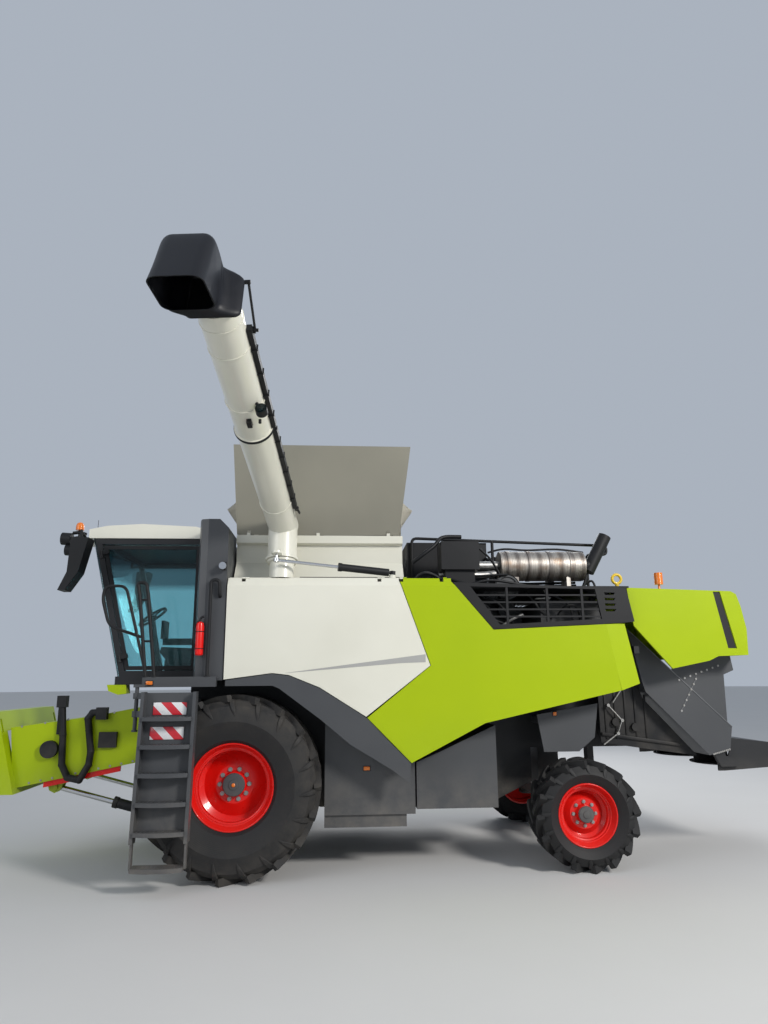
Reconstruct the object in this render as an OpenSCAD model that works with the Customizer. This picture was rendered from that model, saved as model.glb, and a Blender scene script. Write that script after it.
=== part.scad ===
// Self-propelled combine harvester without its cutting header, parked with its unloading auger swung out.
// Machine frame: the front axle is at x = 0, travel is along -X, the left side is at -Y and the ground is z = 0.
// The last lines move the machine so that the middle of its outer box stands over the origin.

/* [Wheels] */
// Distance between the front and the rear axle
wheelbase = 3750; // [3600:10:3900]
// Outer radius of the front tyres
front_tyre_r = 920; // [880:5:940]
// Width of the front tyres
front_tyre_w = 800; // [700:10:820]
// Distance from the centreline to the middle of a front tyre
front_track_half = 1350; // [1330:5:1400]
// Outer radius of the rear tyres
rear_tyre_r = 560; // [540:5:580]
// Width of the rear tyres
rear_tyre_w = 480; // [420:10:490]
// Distance from the centreline to the middle of a rear tyre
rear_track_half = 1380; // [1360:5:1420]
// Radius of the front rim's flange
front_rim_r = 435; // [425:1:450]
// Radius of the rear rim's flange
rear_rim_r = 325; // [315:1:335]
// Number of lugs on each half of a front tyre
front_lugs = 19; // [16:1:22]
// Number of lugs on each half of a rear tyre
rear_lugs = 16; // [14:1:20]
// Height of the lugs above the casing
lug_h = 45; // [30:1:55]
// Width of a lug across its top
lug_w = 62; // [50:1:75]
// Distance from the centreline to a rear kingpin
kingpin_y = 1000; // [980:5:1010]
// Radius of a kingpin
kingpin_r = 32; // [25:1:40]

/* [Body] */
// Half width of the threshing body between the wheels
body_half = 700; // [680:5:720]
// Distance from the centreline to the outer face of the side panels
panel_y = 1620; // [1600:5:1640]
// Thickness of the side panels
panel_t = 28; // [20:1:36]
// Height of the side panels' top edge
panel_top_z = 3090; // [3070:5:3100]
// Front edge of the side panels
panel_front_x = -130; // [-140:2:-120]
// Gap between neighbouring panels
panel_gap = 8; // [6:1:12]
// Distance from the centreline to the outer face of the lower side covers
cover_y = 1300; // [1260:5:1330]
// Height of the lower edge of the lower side covers
cover_low_z = 550; // [520:5:600]
// Half width of the rear hood
hood_half = 1500; // [1460:5:1530]
// Thickness of the rear hood's wall
hood_wall = 30; // [20:1:40]
// Half width of the straw chute and chopper
chute_half = 1180; // [1140:5:1200]

/* [Grain tank] */
// Front wall of the grain tank
tank_front_x = -120; // [-130:2:-110]
// Rear wall of the grain tank
tank_rear_x = 1850; // [1830:5:1860]
// Height of the tank's rim
rim_z = 3660; // [3640:5:3680]
// Half width of the tank at its rim
rim_half = 1120; // [1110:2:1130]
// Thickness of the tank's walls
tank_wall = 20; // [12:1:30]
// Length of a lid from its hinge to its free edge
lid_len = 1070; // [1050:2:1078]
// Lean of the open lids from the vertical, in degrees
lid_lean = 10.8; // [6:0.2:12]
// Thickness of a lid
lid_t = 24; // [16:1:30]

/* [Cab] */
// Half width of the cab
cab_half = 980; // [950:5:1000]
// Height of the cab floor
cab_floor_z = 2040; // [2035:1:2060]
// Height of the underside of the cab roof at its rear
cab_eaves_z = 3640; // [3620:5:3660]
// Rear face of the cab
cab_rear_x = -480; // [-490:2:-470]
// Thickness of the cab's glass
glass_t = 8; // [6:1:12]
// Width of the cab's pillars
pillar_w = 70; // [55:1:85]
// Outer edge of the boarding platform
platform_y = 1680; // [1650:5:1700]

/* [Auger] */
// Outer radius of the unloading auger's tube
auger_r = 170; // [150:2:174]
// Length of the tube from the swing axis to its end
auger_len = 3430; // [3300:10:3600]
// Tilt of the swing axis towards the centreline, in degrees
auger_tilt = 9.4; // [8:0.1:10]
// Direction of the swung-out tube about the swing axis, in degrees
auger_azimuth = -95; // [-98:0.5:-92]
// Rise of the tube above the plane of its swing, in degrees
auger_rise = 7.9; // [7:0.1:9]
// Half width of the spout at the tube's end
spout_half = 205; // [200:1:220]
// Half width of the spout's mouth
mouth_half = 195; // [185:1:200]
// Set of the spout's mouth to the front of the tube's line
mouth_set = 130; // [100:5:135]

/* [Feeder house] */
// Half width of the feeder house
feeder_half = 720; // [700:5:740]
// Front face of the header frame
feeder_front_x = -2900; // [-2940:5:-2850]
// Radius of the lift cylinders' barrels
barrel_r = 55; // [50:1:60]
// Radius of the lift cylinders' rods
rod_r = 30; // [25:1:36]

/* [Hidden] */
$fn = 48;

cream = "#efeee4";
lime = "#b5cf12";
slate = "#4b5058";
dark = "#2b2d31";
black = "#17181a";
red = "#d8221c";
olive = "#8f8b7c";
steel = "#a7abb0";

// Running gap at shafts and pins, and the gap between fixed pieces that only meet
fit_gap = 0.1;
seat_gap = 0.3;

// Thickness of the cab's floor, height and thickness of the engine deck and the places of its posts
cab_floor_t = 90;
deck_z = 2985;
deck_t = 20;
deck_posts = [2180, 4260];
// Axis that the side panels swing about, and the places of their hinges
panel_axis = [-panel_y + 55, panel_top_z];
cream_hinges = [60, 1560];
lime_hinges = [1806, 2260];
// Radii of the front and the rear wheels' spindles
front_spindle_r = 88;
rear_spindle_r = 55;
// Radii of the ladder's, the side panels' and the door's hinge pins
hinge_r = 20;
panel_pin_r = 5;
door_pin_r = 6;
// Radius of the trailer hitch's pin hole
hitch_r = 16.5;
// Outer edge of the tank's ledges
ledge_y = 1530;
ledge_z = 3100;
// Radius of the feeder house's trunnions
trunnion_r = 60;

// Windscreen pillars' front edge, low and high, and the curve of the windscreen
a_low = [-1440, 2140];
a_high = [-1810, cab_eaves_z];
slant = atan((a_low[0] - a_high[0])/(a_high[1] - a_low[1]));
screen_bulge = 170;
screen_half = cab_half;
screen_r = (screen_half*screen_half + screen_bulge*screen_bulge)/(2*screen_bulge);
// Boarding platform and the heights of the door's hinges
platform_z = 2030;
cab_sill_z = 2102;
platform_front_x = -960;
door_hinges = [90, 1330];
door_gap = 8;
door_drop = 9;

// Place of the swing axis where the tube's centreline crosses it
auger_pivot = [440, -1340, 3733];
// Feeder pivot, lift cylinder pins, door hinge and ladder hinge
feeder_pivot = [-760, 0, 1640];
lift_pin = [-450, 560, 360];
lift_eye = [-2130, 560, 815];
door_hinge = [a_low[0] + 62, -cab_half - 40];
ladder_hinge = [-985, -1752];
rotor_x = 5890;
rotor_y = 520;

// Outer box of the machine, from the pieces that reach furthest
spout_lip = [551, 354];
function turn_z(a, p) = [p[0]*cos(a) - p[1]*sin(a), p[0]*sin(a) + p[1]*cos(a), p[2]];
function turn_x(a, p) = [p[0], p[1]*cos(a) - p[2]*sin(a), p[1]*sin(a) + p[2]*cos(a)];
function turn_y(a, p) = [p[0]*cos(a) + p[2]*sin(a), p[1], -p[0]*sin(a) + p[2]*cos(a)];
function auger_point(p) = auger_pivot + turn_x(-auger_tilt, turn_z(auger_azimuth, turn_y(-auger_rise, p)));
lip_point = auger_point([auger_len + spout_lip[0], mouth_half - mouth_set, -spout_lip[1]]);
left_reach = lip_point[1];
right_reach = front_track_half + front_tyre_w/2;
rear_reach = 6450;
shift = [-(feeder_front_x + rear_reach)/2, -(left_reach + right_reach)/2, 0];

// Ring joint of the auger's elbow, the crank's lug on it, and the swing cylinder between lug and tank
ring_w = -404;
ring_r = 186;
foot_ring_r = 165;
foot_r = 138;
ring_t = 26;
crank_r = 240;
crank_angle = -100;
eye_w = -502;
fold_rod_r = 18;
fold_pin_r = 14;
fold_eye = auger_pivot + turn_x(-auger_tilt, [crank_r*cos(crank_angle), crank_r*sin(crank_angle), eye_w]);
fold_pin = [1700, -1450, 3165];
fold_len = norm(fold_eye - fold_pin);
auger_turn = 90;
folded_eye = auger_pivot + turn_x(-auger_tilt, [crank_r*cos(crank_angle + auger_turn),
    crank_r*sin(crank_angle + auger_turn), eye_w]);
fold_normal = cross(fold_eye - fold_pin, folded_eye - fold_pin);
fold_axis = -fold_normal/norm(fold_normal);
// Bearing of the auger's elbow, and the height of the spout's hinge above the tube's axis
spigot_r = 120;
spout_axis_w = 215;

// Lift cylinders of the feeder house
lift_len = norm(lift_eye - lift_pin);
barrel_len = 1060;
rod_inside = 440;

// General helpers
module side_plate(points, y0, y1) {
    translate([0, y1, 0]) rotate([90, 0, 0]) linear_extrude(y1 - y0) polygon(points);
}
module cross_section(points, x0, x1) {
    translate([x0, 0, 0]) rotate([90, 0, 90]) linear_extrude(x1 - x0) polygon(points);
}
module box(low, high) {
    translate(low) cube(high - low);
}
module both_sides() {
    children();
    mirror([0, 1, 0]) children();
}
module rod_between(a, b, r) {
    d = b - a;
    len = norm(d);
    translate(a) rotate([0, acos(d[2]/len), atan2(d[1], d[0])]) cylinder(r = r, h = len, $fn = 24);
}
module bent_tube(path, r) {
    for (i = [0 : len(path) - 2]) rod_between(path[i], path[i + 1], r);
    for (i = [1 : len(path) - 2]) translate(path[i]) sphere(r = r*1.06, $fn = 24);
}
module along_y(x, z, y0, y1, r) {
    translate([x, y1, z]) rotate([90, 0, 0]) cylinder(r = r, h = y1 - y0);
}

// Threshing and cleaning body with the straw walker housing behind it
body_front_x = -640;
tank_floor_z = 2060;
main_outline = [[body_front_x, 1140], [body_front_x, cab_floor_z - cab_floor_t - seat_gap],
    [cab_rear_x + seat_gap, cab_floor_z - cab_floor_t - seat_gap], [cab_rear_x + seat_gap, cab_floor_z - seat_gap],
    [tank_front_x - 20, cab_floor_z - seat_gap], [tank_front_x - 20, tank_floor_z - seat_gap],
    [1880, tank_floor_z - seat_gap], [1920, 2330], [4543, 2330], [4629, 1920], [4560, 1180], [3390, 1180],
    [3390, 800], [2860, 560], [900, 560], [330, 760], [300, 1140]];
module main_body() {
    trunnion_z = feeder_pivot[2];
    x = feeder_pivot[0];
    color(dark) difference() {
        union() {
            side_plate(main_outline, -body_half, body_half);
            both_sides() {
                box([x, -feeder_half - 70, trunnion_z - 110], [body_front_x + 140, -feeder_half - 20, trunnion_z + 110]);
                along_y(x, trunnion_z, -feeder_half - 70, -feeder_half - 20, 110);
                box([body_front_x, -feeder_half - 70, trunnion_z - 140], [body_front_x + 140, -body_half + 1,
                    trunnion_z + 140]);
            }
            for (x = deck_posts) both_sides() box([x, -690, 2329], [x + 60, -630, deck_z - seat_gap]);
            box([4440, -hood_half + hood_wall + seat_gap, 2250], [4500, hood_half - hood_wall - seat_gap, 2331]);
        }
        along_y(x, trunnion_z, -feeder_half - 71, feeder_half + 71, trunnion_r + fit_gap);
    }
}
// Lower side covers, service boxes and the mudguards over the front wheels
guard_low = [[-110, 1930], [390, 1930], [460, 1900], [900, 1580], [1220, 1320], [1660, 1060], [1840, 930]];
guard_high = [[1860, 1118], [1390, 1590], [890, 1900], [560, 2032], [380, 2054], [-110, 1990]];
module lower_covers() {
    skin = 24;
    guard_y = panel_y - panel_t;
    color(slate) both_sides() {
        side_plate(concat(guard_low, guard_high), -guard_y - 34, -guard_y - 34 + skin);
        side_plate([[-110, 1930], [390, 1930], [460, 1900], [900, 1580], [925, 1600], [470, 1930],
            [395, 1960], [-110, 1960]], -guard_y - 10, -body_half - seat_gap);
        side_plate([[950, cover_low_z + 20], [950, 1550], [1250, 1550], [1935, 1130],
            [1935, cover_low_z + 20]], -cover_y, -body_half - seat_gap);
        side_plate([[1950, 620], [1950, 1100], [2200, 1200], [2840, 1480], [2840, 620]],
            -cover_y - 20, -body_half - seat_gap);
        box([950, -cover_y + 30, cover_low_z - 110], [1840, -cover_y + 50, cover_low_z + 22]);
        side_plate([[3337, 1582], [4050, 1700], [3990, 1330], [3800, 1180], [3400, 1180]], -1250, -1226);
        for (x = [3420, 3900]) box([x, -1227, 1470], [x + 60, -body_half - seat_gap, 1550]);
    }
}

// Side panels: a bent sheet trimmed to each panel's outline
module panel_sheet() {
    out = panel_y;
    in = panel_y - panel_t;
    cross_section([[-out + 55, panel_top_z], [-out, panel_top_z - 90], [-out, 2150], [-out + 18, 1000],
        [-in + 18, 1000], [-in, 2150], [-in, panel_top_z - 100], [-in + 50, panel_top_z - 16]],
        panel_front_x - 50, 4500);
}
cream_outline = [[panel_front_x, 3200], [1757, 3200], [1757, 3060], [2086, 2130], [1388, 1600],
    [890, 1908], [560, 2040], [380, 2062], [panel_front_x, 1998]];
lime_outline = [[1757 + panel_gap, 3200], [2346, 3200], [2346, 3050], [2800, 2512], [4310, 2580],
    [4430, 1920], [4210, 1850], [2670, 1520], [1868, 1124], [1400, 1588], [2086 + panel_gap, 2130],
    [1757 + panel_gap, 3060]];
module panel_hinges(places) {
    for (x = places) translate([x, panel_axis[0], panel_axis[1]]) rotate([0, 90, 0]) cylinder(r = 10, h = 40);
}
module notches(places) {
    for (x = places) box([x - 42, -panel_y - 1, panel_top_z - 42], [x + 1, -panel_y + 100, panel_top_z + 20]);
}
module hinge_bores(places) {
    for (x = places) translate([x - 1, panel_axis[0], panel_axis[1]]) rotate([0, 90, 0])
        cylinder(r = panel_pin_r + fit_gap, h = 38);
}
module hinge_lugs(places, root_y, z) {
    for (x = places) {
        translate([x - 6, panel_axis[0], panel_axis[1]]) rotate([0, 90, 0]) cylinder(r = panel_pin_r, h = 40);
        translate([x - 40, panel_axis[0], panel_axis[1]]) rotate([0, 90, 0]) cylinder(r = 10, h = 38);
        box([x - 40, panel_axis[0], z], [x - 2, root_y, panel_axis[1] + 6]);
    }
}
module left_cream_panel() {
    color(cream) difference() {
        union() {
            intersection() {
                panel_sheet();
                side_plate(cream_outline, -panel_y - 100, -1000);
            }
            panel_hinges(cream_hinges);
        }
        notches(cream_hinges);
        hinge_bores(cream_hinges);
    }
}
// The lime panel's rear strip is folded inwards along a leaning crease
facet_foot = [4080, 2570];
facet_lean = -10.2;
facet_fold = 62;
module facet_frame() { translate([facet_foot[0], 0, facet_foot[1]]) rotate([0, facet_lean, 0]) children(); }
module left_lime_panel() {
    out = panel_y;
    in = panel_y - panel_t;
    color(lime) difference() {
        union() {
            difference() {
                intersection() {
                    panel_sheet();
                    side_plate(lime_outline, -panel_y - 100, -1000);
                }
                facet_frame() box([0, -2000, -1200], [700, -1000, 600]);
            }
            intersection() {
                facet_frame() translate([0, 0, -1200]) linear_extrude(1800)
                    polygon([[-6, -out + 1], [320, -out + facet_fold], [320, -in + facet_fold], [-6, -in + 1]]);
                side_plate(lime_outline, -panel_y - 100, -1000);
            }
            panel_hinges(lime_hinges);
        }
        notches(lime_hinges);
        hinge_bores(lime_hinges);
    }
}
module right_cream_panel() { mirror([0, 1, 0]) left_cream_panel(); }
module right_lime_panel() { mirror([0, 1, 0]) left_lime_panel(); }

// Open black grilles beside the engine, above the lime panels
grille_outer = [[2362, 3044], [4350, 2978], [4420, 2600], [4312, 2588], [2806, 2520]];
grille_inner = [[2560, 2996], [3990, 2966], [4046, 2630], [2880, 2570]];
module engine_grilles() {
    y0 = -panel_y + 20;
    y1 = -panel_y + 55;
    bar = 18;
    color(black) both_sides() {
        difference() {
            side_plate(grille_outer, y0, y1);
            side_plate(grille_inner, y0 - 1, y1 + 1);
            for (i = [0 : 3]) side_plate([[4090, 2930 - 62*i], [4220, 2926 - 62*i], [4200, 2900 - 62*i],
                [4100, 2900 - 62*i]], y0 - 1, y1 + 1);
        }
        intersection() {
            side_plate(grille_inner, y0, y1);
            union() {
                for (z = [2650 : 80 : 2960]) box([2500, y0 + 8, z], [4100, y0 + 8 + bar, z + bar]);
                for (x = [2960, 3420, 3820]) box([x, y0 + 4, 2500], [x + 26, y0 + 32, 3010]);
            }
        }
    }
}

// Engine, cooler and pulleys in the open bay behind the tank
module engine() {
    floor_z = 2330 + seat_gap;
    color("#6d7278") {
        box([2260, -760, floor_z], [3350, 300, 2820]);
        box([2330, -620, 2820], [3270, 180, 2940]);
        box([3500, 420, floor_z], [4200, 1380, 2960]);
        box([2300, 500, floor_z], [3400, 1300, 2900]);
        box([3470, -1180, floor_z], [4240, -60, 2880]);
        box([2300, -1180, floor_z], [3330, -755, 2560]);
        for (p = [[2420, 2760, 150], [2840, 2600, 200], [3150, 2800, 110]])
            along_y(p[0], p[1], -860, -760, p[2]);
    }
}
module exhaust_can() {
    y = -800;
    z = 3345;
    pipe_r = 62;
    color("#b9b5ad") {
        translate([3080, y, z]) rotate([0, 90, 0]) cylinder(r = 180, h = 1060);
        for (x = [3160, 3420, 3680, 3940])
            translate([x, y, z]) rotate([0, 90, 0]) cylinder(r = 190, h = 40);
        for (x = [3250, 3900]) box([x, y - 110, deck_z + deck_t + seat_gap], [x + 50, y + 110, 3220]);
        rod_between([4135, y, z], [4230, y, z + 20], pipe_r);
        rod_between([4225, y, z - 40], [4440, y, z + 345], pipe_r + 14);
    }
}
module engine_ducts() {
    top = deck_z + deck_t;
    color(black) {
        difference() {
            box([tank_rear_x + seat_gap, -panel_y + 55 + seat_gap, deck_z],
                [4400 - seat_gap, panel_y - 55 - seat_gap, top]);
            box([3560, 500, deck_z - 1], [4140, 1300, top + 1]);
        }
        for (x = [3560 : 58 : 4140]) box([x, 499, deck_z + 4], [x + 8, 1301, top - 4]);
        box([2290, -1290, 3235], [2740, -960, 3570]);
        box([1960, -540, top - 1], [2990, 1000, 3690]);
        box([2340, -1240, top - 1], [2690, -1010, 3236]);
        both_sides() {
            hinge_lugs([lime_hinges[1]], -panel_y + 130, panel_top_z - 8);
            box([lime_hinges[1] - 40, -panel_y + 110, top - 1], [lime_hinges[1] - 2, -panel_y + 130, panel_top_z]);
        }
    }
}
// Lime rear hood over the straw walkers
hood_outline = [[4400, 2995], [5640, 2955], [5700, 2920], [5740, 2780], [5780, 2520], [5765, 2225],
    [5410, 2215], [5300, 2165], [4860, 2080], [4450, 2560]];
module rear_hood() {
    slot = [[5425, 2950], [5510, 2950], [5640, 2300], [5535, 2300]];
    inner = hood_half - hood_wall;
    color(lime) difference() {
        side_plate(hood_outline, -hood_half, hood_half);
        side_plate([[4300, 2999], [5618, 2925], [5672, 2890], [5712, 2780], [5750, 2520],
            [5734, 2000], [4300, 2000]], -inner, inner);
        for (y = [-hood_half, hood_half - 12]) side_plate(slot, y - 1, y + 13);
    }
    color(lime) side_plate([[4400, 2995 - hood_wall], [4400, 2995], [5640, 2955], [5640, 2925]], -inner - 1,
        inner + 1);
}
// Straw chute, chopper and their side panels
chute_outline = [[4500, 2540], [5650, 1420], [5600, 1160], [5350, 1110], [4660, 1820], [4630, 1920]];
module chopper_housing() {
    skin = 26;
    inner = chute_half - skin;
    color(slate) {
        difference() {
            side_plate(chute_outline, -chute_half, chute_half);
            side_plate([[4540, 2463], [5622, 1409], [5560, 1100], [5380, 1100], [5370, 1130], [4684, 1830],
                [4658, 1918]], -inner, inner);
        }
        both_sides() side_plate([[4990, 1990], [5060, 2400], [5700, 2400], [5745, 2060], [5620, 2010],
            [5600, 1440], [5480, 1560]], -chute_half, -inner);
        along_y(5330, 1400, -inner - 1, inner + 1, 130);
    }
}
// Spreader deck, rear guards and trailer hitch
skirt_outline = [[5655, 1290], [6110, 1240], [rear_reach, 1180], [rear_reach, 1020], [6380, 980], [5560, 930],
    [5480, 930], [5480, 1030], [5610, 1090], [5655, 1200]];
module rear_frame() {
    skirt_y = 1100;
    arm_y = chute_half - 26 - seat_gap;
    top_t = 25;
    jaw_x = 4480;
    color(dark) {
        both_sides() {
            side_plate(skirt_outline, -skirt_y, -skirt_y + 22);
            side_plate([[5430, 1250], [5550, 1250], [5550, 1100], [5700, 1050], [5700, 980], [5490, 980],
                [5430, 1100]], -arm_y, -skirt_y + 1);
        }
        side_plate([[5655, 1290], [6110, 1240], [rear_reach, 1180], [rear_reach, 1180 - top_t],
            [6110, 1240 - top_t], [5655, 1290 - top_t]], -skirt_y + 1, skirt_y - 1);
        difference() {
            for (y = [-rotor_y, rotor_y]) translate([rotor_x, y, 1090]) cylinder(r = 60, h = 160);
            for (y = [-rotor_y, rotor_y]) translate([rotor_x, y, 1089]) cylinder(r = 25 + fit_gap, h = 141);
        }
        difference() {
            union() {
                box([4300, -70, 760], [4380, 70, 1180 - seat_gap]);
                box([4379, -60, 760], [jaw_x, 60, 785]);
                box([4379, -60, 860], [jaw_x, 60, 885]);
                for (z = [760, 860]) translate([jaw_x, 0, z]) cylinder(r = 60, h = 25);
            }
            translate([jaw_x, 0, 700]) cylinder(r = hitch_r, h = 300);
        }
    }
}
module spreader_rotor(y) {
    disc_r = 420;
    color(dark) translate([rotor_x, y, 0]) {
        translate([0, 0, 960]) cylinder(r = disc_r, h = 12);
        translate([0, 0, 960]) cylinder(r = 70, h = 80);
        translate([0, 0, 1039]) cylinder(r = 25, h = 186);
        for (a = [0 : 60 : 300]) rotate([0, 0, a]) box([60, -5, 971], [disc_r - 10, 5, 1050]);
    }
}
module left_rotor() { spreader_rotor(-rotor_y); }
module right_rotor() { spreader_rotor(rotor_y); }

// Grain tank with its ledges, and the two folding lids with the canvas between them
tank_section = [[rim_half, rim_z], [rim_half, rim_z - 90], [rim_half - 70, rim_z - 110],
    [rim_half - 70, 3340], [1240, 3112], [ledge_y, ledge_z], [ledge_y, ledge_z - 14], [1080, 3036], [620, tank_floor_z],
    [0, tank_floor_z]];
function half_to_full(p) = concat(p, [for (i = [len(p) - 2 : -1 : 0]) [-p[i][0], p[i][1]]]);
module tank_outer() {
    cross_section(half_to_full(tank_section), tank_front_x, tank_rear_x);
}
module grain_tank() {
    w = tank_wall;
    color(cream) {
        difference() {
            tank_outer();
            cross_section(half_to_full([[rim_half - w, rim_z + 10], [rim_half - w, rim_z - 80],
                [rim_half - 70 - w, rim_z - 100], [rim_half - 70 - w, 3330], [1060, 3080], [610, tank_floor_z + w],
                [0, tank_floor_z + w]]), tank_front_x + w, tank_rear_x - w);
        }
        both_sides() {
            hinge_lugs(cream_hinges, -ledge_y + 30, 3087);
            hinge_lugs([lime_hinges[0]], -ledge_y + 30, 3087);
            for (x = lid_hinges) {
                box([x - 40, -rim_half, rim_z - 4], [x - 2, lid_hinge[0], lid_hinge[1] + 12]);
                translate([x - 40, lid_hinge[0], lid_hinge[1]]) rotate([0, 90, 0]) cylinder(r = 12, h = 38);
            }
        }
    }
}
lid_hinge = [-rim_half + 35, rim_z + 20];
lid_hinges = [40, 860, 1700];
module left_tank_lid() {
    color(olive) translate([0, lid_hinge[0], lid_hinge[1]]) rotate([lid_lean, 0, 0]) {
        difference() {
            translate([0, lid_t/2, 0]) rotate([90, 0, 0]) linear_extrude(lid_t)
                polygon([[tank_front_x, -6], [tank_rear_x - 40, -6], [tank_rear_x + 95, lid_len],
                    [tank_front_x - 55, lid_len]]);
            for (x = lid_hinges) box([x - 42, -50, -50], [x + 1, 50, 42]);
        }
        for (x = lid_hinges) translate([x, 0, 0]) rotate([0, 90, 0]) cylinder(r = 12, h = 40);
    }
}
module right_tank_lid() { mirror([0, 1, 0]) left_tank_lid(); }
module tank_canvas() {
    low = rim_z + seat_gap;
    high = rim_z + 760;
    half_low = rim_half - 70;
    half_high = -lid_hinge[0] + (high - lid_hinge[1])*tan(lid_lean) - lid_t/2 - 1;
    color("#4c4d50") for (x = [tank_front_x + 4, tank_rear_x - 16])
        cross_section([[-half_low, low], [half_low, low], [half_high, high], [0, high - 120],
            [-half_high, high]], x, x + 8);
}
// Cab: shell with pillars, roof, glass, hinged left door and interior
module cab_slant() {
    translate([a_low[0], 0, a_low[1]]) rotate([0, -slant, 0]) children();
}
module door_hinge_frame() {
    translate([door_hinge[0], door_hinge[1], a_low[1]]) rotate([0, -slant, 0]) children();
}
module cab_plan(x, z0, z1) {
    intersection() {
        box([x - 400, -cab_half, z0], [cab_rear_x, cab_half, z1]);
        translate([x + screen_r - screen_bulge, 0, z0 - 1]) cylinder(r = screen_r, h = z1 - z0 + 2, $fn = 160);
    }
}
module window_outline(in, drop = 0) {
    front = a_low[0] + 14 + pillar_w + in;
    high = cab_eaves_z - pillar_w - in - drop;
    polygon([[front + (a_low[1] - cab_sill_z - in)*tan(slant), cab_sill_z + in],
        [cab_rear_x - pillar_w - in, cab_sill_z + in], [cab_rear_x - pillar_w - in, high],
        [front - (high - a_low[1])*tan(slant), high]]);
}
module side_frame(y0, y1) {
    difference() {
        side_plate([[a_low[0] + 14 + (a_low[1] - cab_floor_z)*tan(slant), cab_floor_z - 1], [cab_rear_x, cab_floor_z - 1], [cab_rear_x, cab_eaves_z],
            [a_high[0] + 14, cab_eaves_z], [a_low[0] + 14, a_low[1]]], y0, y1);
        translate([0, y1 + 1, 0]) rotate([90, 0, 0]) linear_extrude(y1 - y0 + 2) window_outline(0);
    }
}
module cab_shell() {
    w = pillar_w;
    inner = cab_half - w;
    color(dark) {
        cab_plan(a_low[0], cab_floor_z - cab_floor_t, cab_floor_z);
        side_frame(-cab_half, -inner);
        side_frame(inner, cab_half);
        difference() {
            box([cab_rear_x - 40, -inner - 1, cab_floor_z - 1], [cab_rear_x, inner + 1, cab_eaves_z]);
            box([cab_rear_x - 41, -inner + 60, cab_floor_z + 700], [cab_rear_x + 1, inner - 60, cab_eaves_z - 120]);
        }
        box([a_high[0] + 60, -inner - 1, cab_eaves_z - 60], [a_high[0] + 110, inner + 1, cab_eaves_z]);
        door_hinge_frame() for (u = door_hinges) {
            translate([0, 0, u - 32]) cylinder(r = 16, h = 30);
            translate([0, 0, u - 6]) cylinder(r = door_pin_r, h = 46);
            box([-12, 0, u - 32], [12, -cab_half - door_hinge[1] + 1, u - 2]);
        }
    }
}
roof_split_x = -1180;
module roof_profile() {
    low = cab_eaves_z + seat_gap;
    intersection() {
        side_plate([[a_high[0] - screen_bulge - 60, low + 20], [a_high[0] - screen_bulge - 50, low + 70],
            [-1660, low + 150], [-1250, low + 175], [-620, low + 145], [cab_rear_x, low + 105],
            [cab_rear_x, low], [a_high[0] - screen_bulge - 20, low]], -cab_half - 15, cab_half + 15);
        translate([a_high[0] - 40 + screen_r - screen_bulge, 0, low - 1])
            cylinder(r = screen_r + 20, h = 200, $fn = 160);
    }
}
module roof_rear_part(gap) {
    side_plate([[roof_split_x + gap, 3500], [roof_split_x + 160 + gap, 3900], [0, 3900], [0, 3500]],
        -cab_half - 100, cab_half + 100);
}
module cab_roof() {
    color(cream) difference() {
        roof_profile();
        roof_rear_part(0);
    }
}
module roof_rear() {
    color(slate) intersection() {
        roof_profile();
        roof_rear_part(seat_gap);
    }
}
module cab_glass() {
    w = pillar_w;
    inner = cab_half - w;
    color("#3f6a70") {
        intersection() {
            cab_slant() translate([screen_r - screen_bulge, 0, -160]) difference() {
                cylinder(r = screen_r, h = 1880, $fn = 160);
                translate([0, 0, -1]) cylinder(r = screen_r - glass_t, h = 1882, $fn = 160);
            }
            box([a_high[0] - 400, -cab_half + 4, cab_floor_z + seat_gap],
                [a_low[0] + 60, cab_half - 4, cab_eaves_z]);
        }
        translate([0, cab_half - 30, 0]) rotate([90, 0, 0]) linear_extrude(glass_t) window_outline(seat_gap);
        box([cab_rear_x - 24, -inner + 60 + seat_gap, cab_floor_z + 700 + seat_gap],
            [cab_rear_x - 24 + glass_t, inner - 60 - seat_gap, cab_eaves_z - 120 - seat_gap]);
    }
}
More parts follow.
